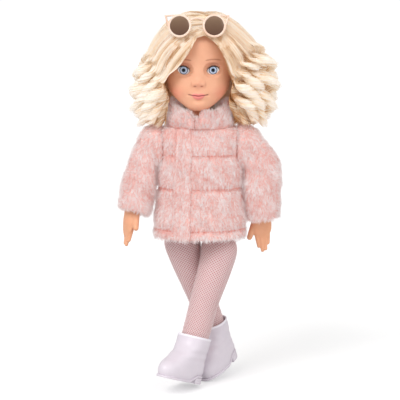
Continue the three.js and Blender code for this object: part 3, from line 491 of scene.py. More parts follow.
def lid_height(outward, rise):
    """Height above the middle of the eye of the upper lid's edge, at a distance towards the temple."""
    u = np.clip(outward / EYE_HALF, -1, 1)
    return rise * lid_arch(u) - 0.5 + 0.9 * u


def face_marks(x, z):
    """Distances that shape and colour the face: into the eye, above its lid, into the lips, above their seam and above
    the line of the brow."""
    away = np.abs(x)
    u = np.clip((away - EYE_X) / EYE_HALF, -1, 1)
    lift = z - EYE_Z + 0.5 - 0.9 * u
    upper = LID_RISE * lid_arch(u)
    lower = -LID_DROP * (1 - np.abs(u) ** 2.4) ** 0.8
    past = np.abs(away - EYE_X) - EYE_HALF
    eye = np.where(past > 0, -np.hypot(past, lift), np.minimum(upper - lift, lift - lower))
    line = MOUTH_Z + 1.1 * (x / 12) ** 2 - 0.5 * hump(x, 0, 3, 1)
    top = line + 3.5 * np.clip(1 - (away / 9.6) ** 2, 0, 1) ** 0.9 - 0.7 * hump(x, 0, 1.5, 1)
    bottom = line - 5.0 * np.clip(1 - (away / 8.8) ** 2, 0, 1) ** 0.9
    lips = np.minimum(top - z, z - bottom)
    brow_line = BROW_Z + 1.4 * np.sin(np.clip((away - 8) / 22, 0, 1.1) * np.pi)
    return eye, lift - upper, lips, z - line, z - brow_line


def face_relief(x, z):
    """How far the face stands forward of the plain head: nose, lips, chin, cheeks and brow."""
    away = np.abs(x)
    _, _, lips, seam, _ = face_marks(x, z)
    nose = 4.3 * hump(x, z - 371.2, 5.4, 5) + 1.9 * hump(x, z - 380, 5, 10) + 1.9 * hump(away - 6.2, z - 369.8, 2.8, 3)
    nostril = -0.8 * hump(away - 4.2, z - 367.4, 1.8, 1.0)
    mouth = 1.5 * hump(x, z - MOUTH_Z, 11, 6) + 1.1 * smoothstep(-0.8, 2.2, lips) + 0.5 * hump(x, z - 353, 5, 2.4)
    groove = -1.2 * bell(seam, 0.7) * smoothstep(13, 10, away) - 0.3 * hump(x, z - 361, 2.2, 2)
    corner = -0.9 * hump(away - 12.8, z - 356.8, 2, 2)
    chin = 2.2 * hump(x, z - 343.5, 7.5, 5) - 1.2 * hump(x, z - 349.4, 6, 2)
    cheek = 1.9 * hump(away - 22, z - 364, 10, 9.5)
    brow = 0.9 * hump(away - 17, z - 400, 12, 4.5)
    return nose + nostril + mouth + groove + corner + chin + cheek + brow


def head_points(angle, z):
    """Head surface over the angle from the front and the height: an oval ring per height, pushed by the relief,
    with lids that lie on the eyeballs and sunk eye openings."""
    side, front, back = head_shape(z)
    middle, deep = (front + back) / 2, (back - front) / 2
    x = side * round_power(np.sin(angle), 2.2)
    y = middle - deep * round_power(np.cos(angle), 2.2)
    ahead = np.clip(np.cos(angle), 0, 1) ** 0.5
    y = y - face_relief(x, z) * ahead
    dx, dz = np.abs(x) - EYE_X, z - EYE_Z
    near = np.hypot(dx / 11.5, dz / 9.5)
    lid = EYE_Y - np.sqrt(np.clip((EYE_RADIUS + 1.1) ** 2 - dx**2 - dz**2, 9, None))
    y = y + (lid - y) * (1 - smoothstep(0.5, 1.12, near)) * (ahead > 0)
    eye, above, _, _, _ = face_marks(x, z)
    rim = 0.55 * bell(eye + 0.9, 0.8) - 0.6 * bell(above - 3.4, 0.7) * (np.abs(dx) < 9)
    y = y - rim * (ahead > 0.5)
    y = y + 7.5 * smoothstep(0.0, 0.7, eye) * (ahead > 0.5)
    return xyz(x, y, z)


def skin_look(name, face):
    """Soft vinyl: warm peach with faint mottling, and on the face blush, lips, brows, lash lines and painted shade."""
    look = Look(name, roughness=0.5, subsurface_weight=0.12, subsurface_radius=SKIN_RADIUS)
    look.set(subsurface_scale=0.5, specular_ior_level=0.35)
    dark, light = FACE_TONES if face else LIMB_TONES
    colour = look.mix(look.noise(90.0), rgb(*dark), rgb(*light))
    if face:
        for key, shade in FACE_SHADES.items():
            colour = look.mix(look.value(key), colour, rgb(*shade))
        look.set(roughness=look.math("SUBTRACT", 0.52, look.math("MULTIPLY", look.value("lip_soft"), 0.2)))
    # The face gets a faint painted glow that lifts the shade cast on it by the hair.
    look.paint(colour, 0.08 if face else 0.0)
    look.bump(look.noise(900.0, 2.0), 0.12, 0.0004)
    return look


def make_head():
    """Face and head: a fine grid, close-set at the front, closed at the chin and the top."""
    columns, rows = 300, 250
    even = all_round(columns)
    z = np.linspace(CHIN_Z, HEAD_TOP_Z, rows)[:, None]
    angle, z = np.broadcast_arrays(even - 0.62 * np.sin(even), z)
    rings = head_points(angle, z)
    x = rings[..., 0]
    away = np.abs(x)
    eye, above, lips, seam, brow = face_marks(x, z)
    streak = 0.75 + 0.25 * np.sin(x * 9 + z * 4)
    taper = smoothstep(6.5, 11, away) * smoothstep(33, 24, away)
    marks = {
        "blush": 0.62 * hump(away - 28, z - 358, 9.5, 8.5) + 0.25 * hump(x, z - 368, 7, 5)
        + 0.22 * hump(away - EYE_X, z - 394, 11, 4) + 0.2 * hump(x, z - 341, 9, 4),
        "lip_soft": 0.85 * smoothstep(-0.3, 0.7, lips),
        "lip_line": bell(seam, 0.6) * smoothstep(13, 11.8, away),
        "brow": 0.95 * bell(brow, 0.8 * np.clip(taper, 0.2, 1)) * taper * streak,
        # Lash line painted above each eye and a thin line round the opening, with painted shade inside the eye
        # opening.
        "liner_and_hole_shade": bell(above - 0.4, 0.9) * (np.abs(away - EYE_X) < 8.2) + 0.25 * bell(eye + 0.1, 0.45)
        + 0.8 * smoothstep(0.2, 0.8, eye),
        # Painted shade in the nostrils and the creases round the nose wings, and eyeshadow in the crease above each
        # eye.
        "nostril": 0.9 * hump(away - 4.1, z - 367.4, 1.6, 0.9) + 0.22 * hump(away - 8.8, z - 370.2, 0.9, 2.6)
        + 0.32 * hump(away - EYE_X - 1, z - 395, 8, 2),
    }
    ahead = np.cos(angle) > 0.35
    marks = {key: np.clip(value * ahead, 0, 1) for key, value in marks.items()}
    head = lofted("face_and_head", rings + HEAD_AT, marks)
    dress(head, skin_look("face_vinyl", True), "head", "skin", "head_shell")


def make_neck():
    """Plain neck, a little wider under the chin, down into the collar."""
    angle = all_round(64)
    height = np.linspace(NECK_LOW_Z, NECK_TOP_Z, 24)[:, None]
    flare = smoothstep(330, NECK_TOP_Z, height)
    radius = 14 + 1.2 * flare
    ring = xyz(radius * np.sin(angle), -radius * np.cos(angle) + 2 * flare, height)
    dress(lofted("neck", ring + HEAD_AT), skin_look("neck_vinyl", False), "head", "skin")


def eye_look():
    """Glossy moulded eye: black pupil, blue-grey iris with fibres and a dark ring, white ball, and skin with a lash
    line on the part that closes the eye."""
    look = Look("eye_gloss", roughness=0.12, specular_ior_level=0.25, coat_weight=0.2, coat_roughness=0.02)
    out = look.value("iris_out")
    fibre = look.noise(1.0, 4.0, 0.7, look.node("CombineXYZ", {
        "X": look.math("MULTIPLY", look.value("iris_turn"), 9.0),
        "Y": look.math("MULTIPLY", out, 0.6)}).outputs[0])
    jitter = look.plus(out, look.math("SUBTRACT", fibre, 0.5), 0.9)
    iris = look.ramp(look.math("DIVIDE", jitter, 10.0), (0.0, (4, 4, 6)), (0.185, (6, 8, 12)),
                     (0.225, (110, 128, 160)), (0.32, (196, 210, 228)), (0.42, (158, 178, 208)),
                     (0.475, (40, 54, 80)), (0.51, (60, 74, 96)), (0.54, (244, 242, 242)))
    lid = look.value("lid")
    lash_line = look.math("MULTIPLY", look.math("MULTIPLY", lid, look.math("SUBTRACT", 1.0, lid)), 3.6)
    # Painted glow that lifts the shade the lids cast on the eye whites.
    look.paint(look.mix(lash_line, look.mix(lid, iris, rgb(*LID_SKIN)), rgb(*LINER)), 0.14)
    return look


def make_eyeball(name, side, centre, look):
    """Ball with a slightly raised iris, its pole to the front, and values for iris and lid."""
    polar = np.linspace(0.02, np.pi - 0.02, 90)[:, None]
    turn = all_round(96)
    way = xyz(np.sin(polar) * np.cos(turn), -np.cos(polar), np.sin(polar) * np.sin(turn))
    bulge = 1 + 0.035 * bell(polar, 0.42)
    past_lid = EYE_RADIUS * way[..., 2] - lid_height(side * EYE_RADIUS * way[..., 0], LID_RISE)
    values = {"iris_out": EYE_RADIUS * np.sin(np.minimum(polar, np.pi / 2)) + 30 * (polar > 1.5),
              "iris_turn": np.abs(turn - np.pi), "lid": smoothstep(0.0, 0.8, past_lid)}
    values = {key: np.broadcast_to(value, way.shape[:2])[::-1] for key, value in values.items()}
    ball = lofted(f"{name}_eye", (way * bulge[..., None] * EYE_RADIUS)[::-1] + centre, values)
    dress(ball, look, "eyes", "eye", f"{name}_eyeball", f"{name}_iris")


def make_lashes(name, side, centre, look):
    """Row of lashes along the upper lid, longer towards the temple."""
    count = 34
    spread = np.linspace(-6.9, 6.9, count)
    high = lid_height(side * spread, LASH_RISE)
    along = np.linspace(0, 1, 7)[None, :, None]
    root = xyz(spread, -np.sqrt(np.clip((EYE_RADIUS + 0.7) ** 2 - spread**2 - high**2, 1, None)), high)
    fan = unit(xyz(spread * 0.085 + side * 0.12, -1.0, 0.35))
    length = (3.0 + 1.0 * smoothstep(-6, 6, spread * side) + 0.5 * np.sin(np.arange(count) * 2.4))[:, None, None]
    path = root[:, None] + fan[:, None] * length * along + np.array([0, 0, 1.6]) * along**2
    width = np.broadcast_to(0.5 * (1 - 0.85 * along[..., 0]), path.shape[:2])
    lashes = ribbons(f"{name}_lash_row", path + centre, width, np.array([1.0, 0, 0]), {"along": along[..., 0]})
    dress(lashes, look, "eyes", "lash", f"{name}_lashes")


def make_eyes():
    """Eyeballs about the closing bar, with lashes fixed to them."""
    gloss = eye_look()
    fibre = Look("lash_fibre", roughness=0.6)
    fibre.set(base_color=fibre.ramp(fibre.value("along"), (0.0, (30, 20, 16)), (1.0, (70, 48, 38))))
    for name, side in SIDES:
        centre = np.array([side * EYE_X, EYE_Y, EYE_Z]) + HEAD_AT
        make_eyeball(name, side, centre, gloss)
        make_lashes(name, side, centre, fibre)


# Jacket

SHOULDER_Z = 291.0
HEM_Z, JACKET_TOP_Z = 180.0, 318.0
QUILT_SEAMS = np.array([176.0, 191.0, 243.0, 285.0, 330.0])
SEAM_PUFF, ROW_PUFF = 4.2, 2.5
# Half width and depth of the jacket's wall: for telling in from out, and for the angle of a point on it
WALL_HALF, WALL_DEEP, ANGLE_DEEP = 50, 42, 43
# What the sleeve covers: about the shoulder, out from the middle, and up
COVERED_RADIUS, COVERED_X, COVERED_Z = 26, 40, 260
ARMHOLE_RADIUS, ARMHOLE_X, ARMHOLE_LINING_X = 27.2, 45.9, 45.0
STITCH_OFFSET, STITCH_STEP = 6.4, 4.6
COLLAR_RADIUS, COLLAR_FOOT_Z, COLLAR_FRONT_Z = 33, 318.3, 331
# Pile: hairs to the square millimetre, length, and the most for one piece
PILE_DENSITY, PILE_LENGTH, MOST_HAIRS = 1.6, 5.4, 66000
COLLAR_DENSITY, COLLAR_LENGTH = 1.9, 6.0
HAIR_HALF = 0.17
TUFT_SIZE = [3.6, 3.6, 5.2]
# Height, half width, front and back
jacket_shape = smooth_through([
    [180, 51, 45, 43], [203.5, 50.4, 43, 42], [217.5, 48, 41, 40], [246, 46.8, 38.5, 38],
    [281, 46.6, 37, 37], [301, 46, 34, 35], [311, 45, 31.5, 32.5], [316, 41, 30, 31], [318, 36, 29, 30],
])


def quilt_puff(z):
    """Height of the padding over the lining, least at the seams."""
    row = np.clip(np.searchsorted(QUILT_SEAMS, z, side="right"), 1, len(QUILT_SEAMS) - 1)
    low, high = QUILT_SEAMS[row - 1], QUILT_SEAMS[row]
    across = 2 * (z - low) / (high - low) - 1
    return SEAM_PUFF + ROW_PUFF * (1 - np.abs(across) ** 3.2)


def seam_gap(z):
    """Distance to the nearest quilting seam."""
    return np.min(np.abs(np.asarray(z)[..., None] - QUILT_SEAMS), -1)


def jacket_points(degrees, z, offset):
    """Jacket surface at an angle from the front and a height, offset outwards from the lining."""
    return xyz(*oval(np.radians(degrees), 2.4, offset, *jacket_shape(z)), z)


def panel_angle(local):
    """Angle from the front that gives a point of the jacket surface, in degrees."""
    across, along = local[:, 0] / WALL_HALF, -local[:, 1] / ANGLE_DEEP
    return np.degrees(np.arctan2(np.sign(across) * np.abs(across) ** 1.2, np.sign(along) * np.abs(along) ** 1.2))


def pucker(degrees, z):
    """Small upright folds that gather along each seam and fade from it."""
    folds = 0.7 * np.sin(degrees * 0.62 + 2 * np.sin(z / 9)) + 0.4 * np.sin(degrees * 1.31 + z / 5)
    return bell(seam_gap(z), 9) * folds


def clear_armhole(points):
    """Keep the panel wall inside the sleeve head: no point in the armhole ring stands out past its edge."""
    x, y, z = points[..., 0], points[..., 1], points[..., 2]
    inside = np.hypot(y, z - SHOULDER_Z) < ARMHOLE_RADIUS
    edge = np.where(inside, ARMHOLE_X, 200.0)
    return xyz(np.clip(x, -edge, edge), y, z), inside


def fur_look():
    """Short plush: pale pink at the tips, uneven from tuft to tuft, coral at the roots and in the partings as painted
    shade.
    """
    look = Look("plush_pile", roughness=0.9, specular_ior_level=0.1)
    # Coral towards the roots and where the tuft value is low at partings: painted shade deep in the pile.
    colour = look.ramp(look.plus(look.value("along"), look.value("tuft"), 0.3), (0.0, (230, 178, 169)),
                       (0.3, (238, 225, 223)), (0.65, (241, 234, 233)), (1.0, (247, 244, 244)))
    # Painted glow that lifts the shade within the pile.
    look.paint(colour, 0.13)
    look.let_through(colour, 0.4)
    return look


FUR = fur_look()
# Coral backing cloth, with a painted glow that lifts its shade.
BACKING = mottled("plush_backing", (260.0, 3.0), (226, 166, 156), (236, 204, 198), (1400.0, 2.0, 0.5, 0.0006), 0.1,
                  roughness=0.95, specular_ior_level=0.1)


def scatter_roots(piece, density, keep):
    """Random points on the faces of a piece that keep() allows, and the way out from the face of each."""
    points, triangles = mesh_arrays(piece)
    corners = points[triangles]
    across = np.cross(corners[:, 1] - corners[:, 0], corners[:, 2] - corners[:, 0])
    size = np.linalg.norm(across, axis=1) / 2
    weight = size * keep(corners.mean(1), unit(across))
    count = int(min(weight.sum() * density * (1), MOST_HAIRS))
    face = rng.choice(len(size), count, p=weight / weight.sum())
    a, b = rng.random((2, count, 1))
    over = a + b > 1
    a, b = np.where(over, 1 - a, a), np.where(over, 1 - b, b)
    first, second, third = (corners[face, corner] for corner in range(3))
    return first + a * (second - first) + b * (third - first), unit(across[face])


def gather_tufts(root):
    """Number of the tuft that each root belongs to, and the middle of that tuft."""
    cell = np.floor((root + 2.5 * drift(root, 19, 3)) / TUFT_SIZE)
    _, tuft_of = np.unique(cell, axis=0, return_inverse=True)
    tuft_of = tuft_of.ravel()
    total = np.stack([np.bincount(tuft_of, root[:, axis]) for axis in range(3)], -1)
    return tuft_of, (total / np.bincount(tuft_of)[:, None])[tuft_of]


def grow_fur(piece, body, density, length, keep, parting=None, flow=DOWN):
    """Pile on the faces that keep() allows: hairs lean along the flow, gather in tufts and shorten at a parting."""
    root, normal = scatter_roots(piece, density, keep)
    count = len(root)
    away = parting(root)[:, None] if parting else np.ones((count, 1))
    tuft_of, centre = gather_tufts(root)
    tufts = tuft_of.max() + 1
    bend = rng.normal(size=(tufts, 3))[tuft_of]
    way = normal + 0.75 * flow + 0.3 * bend + 0.5 * drift(root, 26, 11) + 0.3 * rng.normal(size=root.shape)
    way = unit(way + normal * np.clip(0.35 - dot(way, normal), 0, None))
    tone = rng.normal(size=tufts)[tuft_of] * 0.5 + 0.3 * rng.normal(size=count) + 0.5 * ripple(root, 34, 21)
    vary = (0.85 + 0.12 * tone + 0.15 * rng.normal(size=count)).clip(0.35, 1.4)[:, None]
    long = length * vary * (0.4 + 0.6 * away)
    middle = root + way * long * 0.55
    tip = root + unit(way + 0.35 * flow) * long
    tip = tip + 0.45 * (centre - root) * (1 - 0.4 * rng.random((count, 1)))
    half = unit(np.cross(way, normal + 0.25 * rng.normal(size=root.shape))) * HAIR_HALF
    low = root - normal * 0.2
    points = np.stack([low - half, low + half, middle - half * 0.8, middle + half * 0.8, tip], 1)
    first = np.arange(count)[:, None] * 5
    # Tuft value: random tone per tuft and hair, lowered at partings and seams as painted shade.
    values = {"along": np.broadcast_to([0, 0, 0.55, 0.55, 1.0], (count, 5)),
              "tuft": np.repeat(0.8 * tone - 1.3 * (1 - away[:, 0]), 5)}
    fur = mesh_piece(piece.name + "_pile", points.reshape(-1, 3), first + [0, 1, 3, 2], first + [2, 3, 4], values)
    dress(fur, FUR, body, "fur")


def panel_wall(start, stop, columns, proud, lap):
    """Inner and outer points of a panel: lining and padding, gathered along the seams and thin at the edges. A proud
    panel lies on top of its neighbours, and up to the angle lap a panel is flat under one."""
    degrees, z = np.broadcast_arrays(np.linspace(start, stop, columns), np.linspace(HEM_Z, JACKET_TOP_Z, 120)[:, None])
    offset = 6.4 + proud + 0.4 * np.sin(z / 7) if proud else quilt_puff(z) + pucker(degrees, z) * 0.8
    low = np.full(offset.shape, 4.1 if proud else 0.0)
    edge = np.minimum(degrees - start, stop - degrees)
    offset = np.maximum(offset - 1.2 * bell(edge, 1.2), low + 0.8)
    offset -= 1.6 * bell(z - HEM_Z, 1.6)
    if lap is not None:
        offset = np.where(degrees < lap, 1.8, offset)
    outer, hidden = clear_armhole(jacket_points(degrees, z, offset))
    inner, _ = clear_armhole(jacket_points(degrees, z, low))
    x = inner[..., 0]
    inner[..., 0] = np.where(hidden & (np.abs(x) > ARMHOLE_LINING_X), np.sign(x) * ARMHOLE_LINING_X, x)
    return inner + STAND, outer + STAND


def make_panel(name, start, stop, columns, node, proud=0.0, lap=None):
    """One quilted panel of the jacket between two angles from the front, with its pile."""
    panel = shell_piece(name, *panel_wall(start, stop, columns, proud, lap))
    dress(panel, BACKING, "body", "fur", node)

    def keep(points, normal):
        local = points - STAND
        x, y, z = local.T
        outward = normal[:, 0] * x / WALL_HALF**2 + normal[:, 1] * y / WALL_DEEP**2 > 0
        covered = (np.hypot(y, z - SHOULDER_Z) < COVERED_RADIUS) & (np.abs(x) > COVERED_X)
        angle = panel_angle(local)
        under = (angle < lap) & (angle > start - 4) if lap is not None else False
        return (outward & (np.hypot(x / WALL_HALF, y / WALL_DEEP) > 0.6) & ~covered & ~under).astype(float)

    def parting(points):
        local = points - STAND
        angle = panel_angle(local)
        angle = np.where(angle < start - 40, angle + 360, angle)
        edge = 0.87 * np.minimum(angle - (start if lap is None else lap), stop - angle)
        away = smoothstep(-0.4, 0.9 if lap is None else 2.2, edge)
        away = away if proud else np.minimum(away, smoothstep(0.1, 3.6, seam_gap(local[:, 2])))
        return away + 0.25 * away * smoothstep(190, 186, local[:, 2])

    grow_fur(panel, "body", PILE_DENSITY, PILE_LENGTH, keep, parting)


def stitch_seams():
    """Running stitches along the quilting seams: short bars with tapered ends, one after the other round the body."""
    turn = all_round(5)[:, None]
    rows = np.array([(-1.5, 0.12), (-1.0, 0.42), (1.0, 0.42), (1.5, 0.12)])
    spans = ((-6, 72), (-74, -34), (118, 244))
    points, faces = [], []
    for z in QUILT_SEAMS[1:4]:
        for degrees in np.concatenate([np.arange(start, stop, STITCH_STEP) for start, stop in spans]):
            middle, ahead = jacket_points(np.array([degrees, degrees + 1.0]), np.array([z, z]), STITCH_OFFSET)
            if z > COVERED_Z and abs(middle[0]) > COVERED_X:
                continue
            along = unit(ahead - middle)
            ring = np.cos(turn) * unit(np.cross(along, UP)) + np.sin(turn) * UP
            bar = middle + along * rows[:, :1, None] + ring * rows[:, 1:, None]
            faces.append(grid_quads(4, 5, True, 20 * len(points)))
            points.append(bar.reshape(-1, 3))
    look = mottled("stitch_thread", (900.0, 3.0), (222, 120, 104), (234, 146, 130), (2600.0, 3.0, 0.5, 0.0003),
                   roughness=0.7)
    thread = mesh_piece("seam_stitching", np.concatenate(points) + STAND, np.concatenate(faces))
    dress(thread, look, "body", "fur")


def make_collar():
    """Stand-up collar: a padded roll, lower at the front where the placket passes, leaning in on the left."""
    degrees, v = np.broadcast_arrays(np.linspace(-8, 350, 200), np.linspace(0, 1, 26)[:, None])
    from_front = np.abs((degrees + 180) % 360 - 180)
    from_placket = np.abs((degrees + 189) % 360 - 180)
    top = COLLAR_FRONT_Z + 8 * smoothstep(4, 15, from_placket) + 5 * smoothstep(34, 66, from_front)
    top = top + 7 * smoothstep(62, 95, from_front)
    z = COLLAR_FOOT_Z + (top - COLLAR_FOOT_Z) * v
    belly = 8 * (0.55 + 0.45 * np.sin(np.pi * np.clip(v + 0.15, 0, 0.85)))
    belly = belly + 0.5 * np.sin(degrees * 0.5) * np.sin(np.pi * v)
    angle = np.radians(degrees)

    def wall(radius):
        return xyz(radius * np.sin(angle), -radius * np.cos(angle), z) + STAND

    on_left = (degrees + 20) % 360 - 20
    lean = 3 * v**2 * smoothstep(8, 40, on_left) * smoothstep(120, 80, on_left)
    collar = shell_piece("collar_roll", wall(COLLAR_RADIUS + 0.9 * v - lean), wall(COLLAR_RADIUS + belly - lean))
    dress(collar, BACKING, "body", "fur", "jacket_collar")

    def keep(points, normal):
        return points[:, 2] > 319 + STAND[2]

    grow_fur(collar, "body", COLLAR_DENSITY, COLLAR_LENGTH, keep, flow=UP)


# Arms and sleeves

SHOULDER_X, STUB_ENDS, STUB_RADIUS = 59, (50, 63), 11.8
ARM_TOP, ARM_LENGTH, SLEEVE_LENGTH = -11, 116, 88
SLEEVE_TOP, CUFF_FOLD, SLEEVE_NEAREST_X = -6, 12, 57.6
# Side, distance out from the shoulder, pitch, lean and twist in degrees, and the sleeve: depth below the shoulder,
# half width, half depth and shift outwards
ARMS = {
    "left": (1, 7.5, (0, -7, -85), [
        [-6, 20, 23, -2], [22, 26, 26, 5], [50, 25, 25.5, 4], [75, 22.5, 23, 3], [88, 20.5, 21.5, 3]]),
    "right": (-1, 4.5, (-10, 15.5, 25), [
        [-6, 18, 23, -1], [22, 21, 25, -1], [50, 21.5, 25, 0], [75, 19.5, 23, -1], [88, 18, 20.5, -2]]),
}
# Depth below the shoulder, half thickness and half width
arm_shape = smooth_through([
    [-11, 5, 5], [-6, 9, 9], [4, 10.4, 10.4], [25, 10.8, 10.8], [50, 10.8, 11],
    [72, 10.2, 11.4], [88, 8.8, 11.8], [97, 7, 13], [103, 5, 12.6], [108, 3.4, 11.5], [112, 2.2, 9], [116, 1.2, 5],
])
# Place across the hand of the root and the tip of each finger, and the depth of its tip
FINGERS = [[-8.4, -6.4, 127], [-2.9, -2.2, 133], [2.7, 2.0, 131.5], [8.1, 6.0, 124]]
# Distance from the middle and radius of the sleeve's head
SLEEVE_HEAD = np.array([[46.6, 26.6], [50, 26.8], [55, 26.6], [60, 25.6], [66, 23.4], [72, 19.4], [77, 13], [80, 5]])
ARM_SKIN = skin_look("arm_vinyl", False)


def make_limb(name, side, origin, turned):
    """Vinyl arm: limb, fingers, thumb and the stub in the shoulder under one skin."""
    palm = -side
    short, raised = (0, 0) if side > 0 else (7, 11)

    def place(x, y, z):
        return origin + turned @ np.array([x, y, z], float)

    depth = np.linspace(ARM_LENGTH, ARM_TOP, 60)[:, None]
    thick, wide = arm_shape(depth)
    ring = oval(all_round(40), 2.1, 0, thick, wide, wide)
    parts = [lofted("limb", xyz(*ring, -depth) @ turned.T + origin)]
    for root, tip, reach in FINGERS:
        parts.append(capsule("finger", place(palm * 0.5, root, -95), place(palm * 3, tip, -reach + short), 4.0, 2.3))
    thumb = place(palm * 1.5, -6.5, raised - 93), place(palm * 3, -17, raised - 114)
    parts.append(capsule("thumb", *thumb, 5.2, 3.4))
    stub = [np.array([side * end, 0, SHOULDER_Z]) + STAND for end in STUB_ENDS]
    parts.append(capsule("stub", *stub, STUB_RADIUS, STUB_RADIUS))
    arm = remeshed(f"{name}_arm_vinyl", parts, 0.8, 4)
    dress(arm, ARM_SKIN, f"{name}_arm", "skin", f"{name}_arm")


def sleeve_tube(side, cuff, shape):
    """Quilted tube of a sleeve, hanging straight down, from the turned-in cuff up to the shoulder."""
    depth = np.concatenate([np.linspace(cuff - CUFF_FOLD, cuff, 8), np.linspace(cuff - 1, SLEEVE_TOP, 60)])[:, None]
    inset = np.concatenate([np.linspace(-6, -2.2, 8), np.zeros(60)])[:, None]
    angle = all_round(72)
    half, deep, shift = shape(depth)
    puff = 1.2 * np.abs(np.sin(3 * np.pi * depth / SLEEVE_LENGTH)) - 0.8
    gather = 0.8 * bell(np.abs((depth + 14.6) % 29.3 - 14.6), 6) * np.sin(angle * 11 + depth)
    x, y = oval(angle, 2.2, puff + gather + inset, half, deep, deep)
    return xyz(x + side * shift, y, -depth)


def make_sleeve(name, side, origin, hang, rows):
    """Quilted sleeve over the arm, with its head in the armhole, and its pile."""
    cuff = SLEEVE_LENGTH + 4 * side
    tube = sleeve_tube(side, cuff, smooth_through(rows)) @ hang.T + origin
    tube[..., 0] = side * np.clip(side * tube[..., 0], SLEEVE_NEAREST_X, None)
    out, radius = SLEEVE_HEAD[:, :1], SLEEVE_HEAD[:, 1:]
    turn = all_round(64)
    high = SHOULDER_Z + radius * np.sin(turn) * (1 + 0.16 * np.clip(np.sin(turn), 0, 1) * smoothstep(46, 52, out))
    dome = xyz(side * out, -side * radius * np.cos(turn), high) + STAND
    sleeve = remeshed(f"{name}_sleeve", [lofted("tube", tube), lofted("dome", dome)], 2.2, 4)
    dress(sleeve, BACKING, f"{name}_arm", "fur", f"jacket_{name}_sleeve")
    down = hang @ DOWN

    def keep(points, normal):
        local = points - STAND
        body_side = (side * local[:, 0] < 49) & (side * normal[:, 0] < -0.6)
        along = (points - origin) @ down
        inside = (along > cuff - 18) & (np.abs(normal @ down) > 0.75) & (along < cuff - 1.5)
        return (~body_side & ~inside).astype(float)

    grow_fur(sleeve, f"{name}_arm", PILE_DENSITY, PILE_LENGTH, keep)


def make_arm(name):
    """One arm in its sleeve."""
    side, out, (pitch, lean, twist), rows = ARMS[name]
    origin = np.array([side * (SHOULDER_X + out), 0, SHOULDER_Z]) + STAND
    make_limb(name, side, origin, turn_matrix(pitch, lean, twist))
    make_sleeve(name, side, origin, turn_matrix(pitch, lean, 0), rows)


# Wig

# Paths of locks from the parting to their ends, from the fringe round to the back: seven points each
RIGHT_GUIDES = np.array([
    6, -38, 433, -6, -43, 425, -19, -43, 411, -31, -41, 397, -45, -37, 383, -58, -28, 366, -64, -20, 345,
    5, -30, 438, -14, -42, 434, -36, -42, 418, -52, -37, 398, -62, -30, 375, -66, -24, 350, -66, -18, 328,
    5, -18, 446, -18, -30, 446, -44, -30, 430, -63, -25, 408, -72, -20, 383, -78, -15, 355, -74, -8, 326,
    4, -4, 454, -20, -8, 455, -48, -8, 438, -68, -5, 412, -80, 0, 385, -86, 2, 356, -78, 6, 326,
    4, 10, 456, -18, 18, 455, -45, 22, 438, -64, 25, 412, -76, 30, 384, -80, 32, 355, -70, 30, 326,
    2, 25, 452, -12, 40, 448, -32, 52, 430, -46, 58, 405, -54, 60, 380, -54, 60, 352, -48, 56, 326,
    0, 32, 448, -3, 50, 440, -6, 62, 420, -8, 67, 398, -9, 68, 375, -9, 66, 350, -8, 62, 326,
], float).reshape(7, 7, 3)
LEFT_GUIDES = np.array([
    6, -38, 433, 18, -45, 428, 33, -45, 415, 44, -41, 398, 51, -37, 381, 60, -30, 364, 66, -24, 345,
    7, -30, 438, 24, -42, 434, 42, -42, 418, 54, -37, 400, 66, -30, 378, 74, -24, 352, 72, -18, 328,
    8, -18, 446, 28, -30, 445, 52, -30, 428, 72, -26, 408, 86, -20, 384, 90, -15, 355, 82, -8, 326,
    8, -4, 454, 28, -8, 455, 55, -8, 436, 80, -5, 412, 96, 0, 384, 97, 2, 354, 86, 6, 325,
    7, 10, 456, 26, 18, 455, 52, 22, 438, 74, 25, 412, 90, 30, 384, 90, 32, 355, 78, 30, 326,
    5, 25, 452, 18, 40, 448, 36, 52, 430, 52, 58, 405, 60, 60, 380, 60, 60, 352, 54, 56, 326,
    0, 32, 448, 4, 50, 440, 8, 62, 420, 11, 67, 398, 12, 68, 375, 12, 66, 350, 10, 62, 326,
], float).reshape(7, 7, 3)
# Layers of locks: how many on a side, hairs in each, and how far in their lower part lies
HAIR_LAYERS = ((11, 136, 0.93), (9, 104, 0.79), (7, 80, 0.64))
# Steps along a hair, closer where it curls
HAIR_V = np.concatenate([np.linspace(0, 0.42, 8), np.linspace(0.42, 1, 49)[1:]])
HAIR_WIDTH, CURL_RADIUS = 0.85, 12.0
FRINGE_END, BACK_START = 1.3, 4.6
SKULL_Z = 388.0
SKULL_MIDDLE = np.array([HEAD_X, 3.0, SKULL_Z])
WIG_AXIS = np.array([HEAD_X + 2, 4.0, 0.0])
HAIR_REST_Z, COLLAR_CLEAR = 311, 45
# Inner edge of the hair beside the face: height, distance to the right and to the left of the middle
FACE_EDGE = np.array([(330, 30, 30), (345, 34, 36), (358, 38, 39), (370, 43, 43), (382, 36, 38), (390, 25, 35),
                      (397, 19, 32), (411, 9.5, 26), (421, 4, 20), (430, 0, 6), (436, 0, 0)], float)
# Lower edge of the cap over the face: place across and height
FACE_WINDOW = np.array([(-43, 352), (-39, 372), (-31, 390), (-21, 405), (-7, 420), (8, 431), (18, 425), (30, 412),
                        (38, 396), (43, 380), (50, 364)], float)
# Height, left, right, front and back
wig_shape = smooth_through([
    [319.5, 70, 64, 18, 40], [325, 84, 75, 24, 50], [336, 93, 82, 28, 56], [357, 96, 85, 32, 62],
    [379, 100, 83, 36, 66], [392, 97, 77, 41, 66], [402, 90, 75, 43, 66], [417, 69, 66, 43, 62],
    [432, 58, 56, 37, 54], [445, 46, 46, 27, 42], [455, 29, 29, 15, 26], [461, 9, 9, 4, 8],
])


def along_guide(points, v):
    """Smooth curve through seven points, v from 0 to 1 (Catmull-Rom)."""
    t = v * (len(points) - 1)
    k = np.clip(np.floor(t).astype(int), 0, len(points) - 2)
    f = (t - k)[:, None]
    a, b, c, d = (points[np.clip(k + i, 0, len(points) - 1)] for i in (-1, 0, 1, 2))
    return 0.5 * (2 * b + (c - a) * f + (2 * a - 5 * b + 4 * c - d) * f**2 + (3 * b - a - 3 * c + d) * f**3)


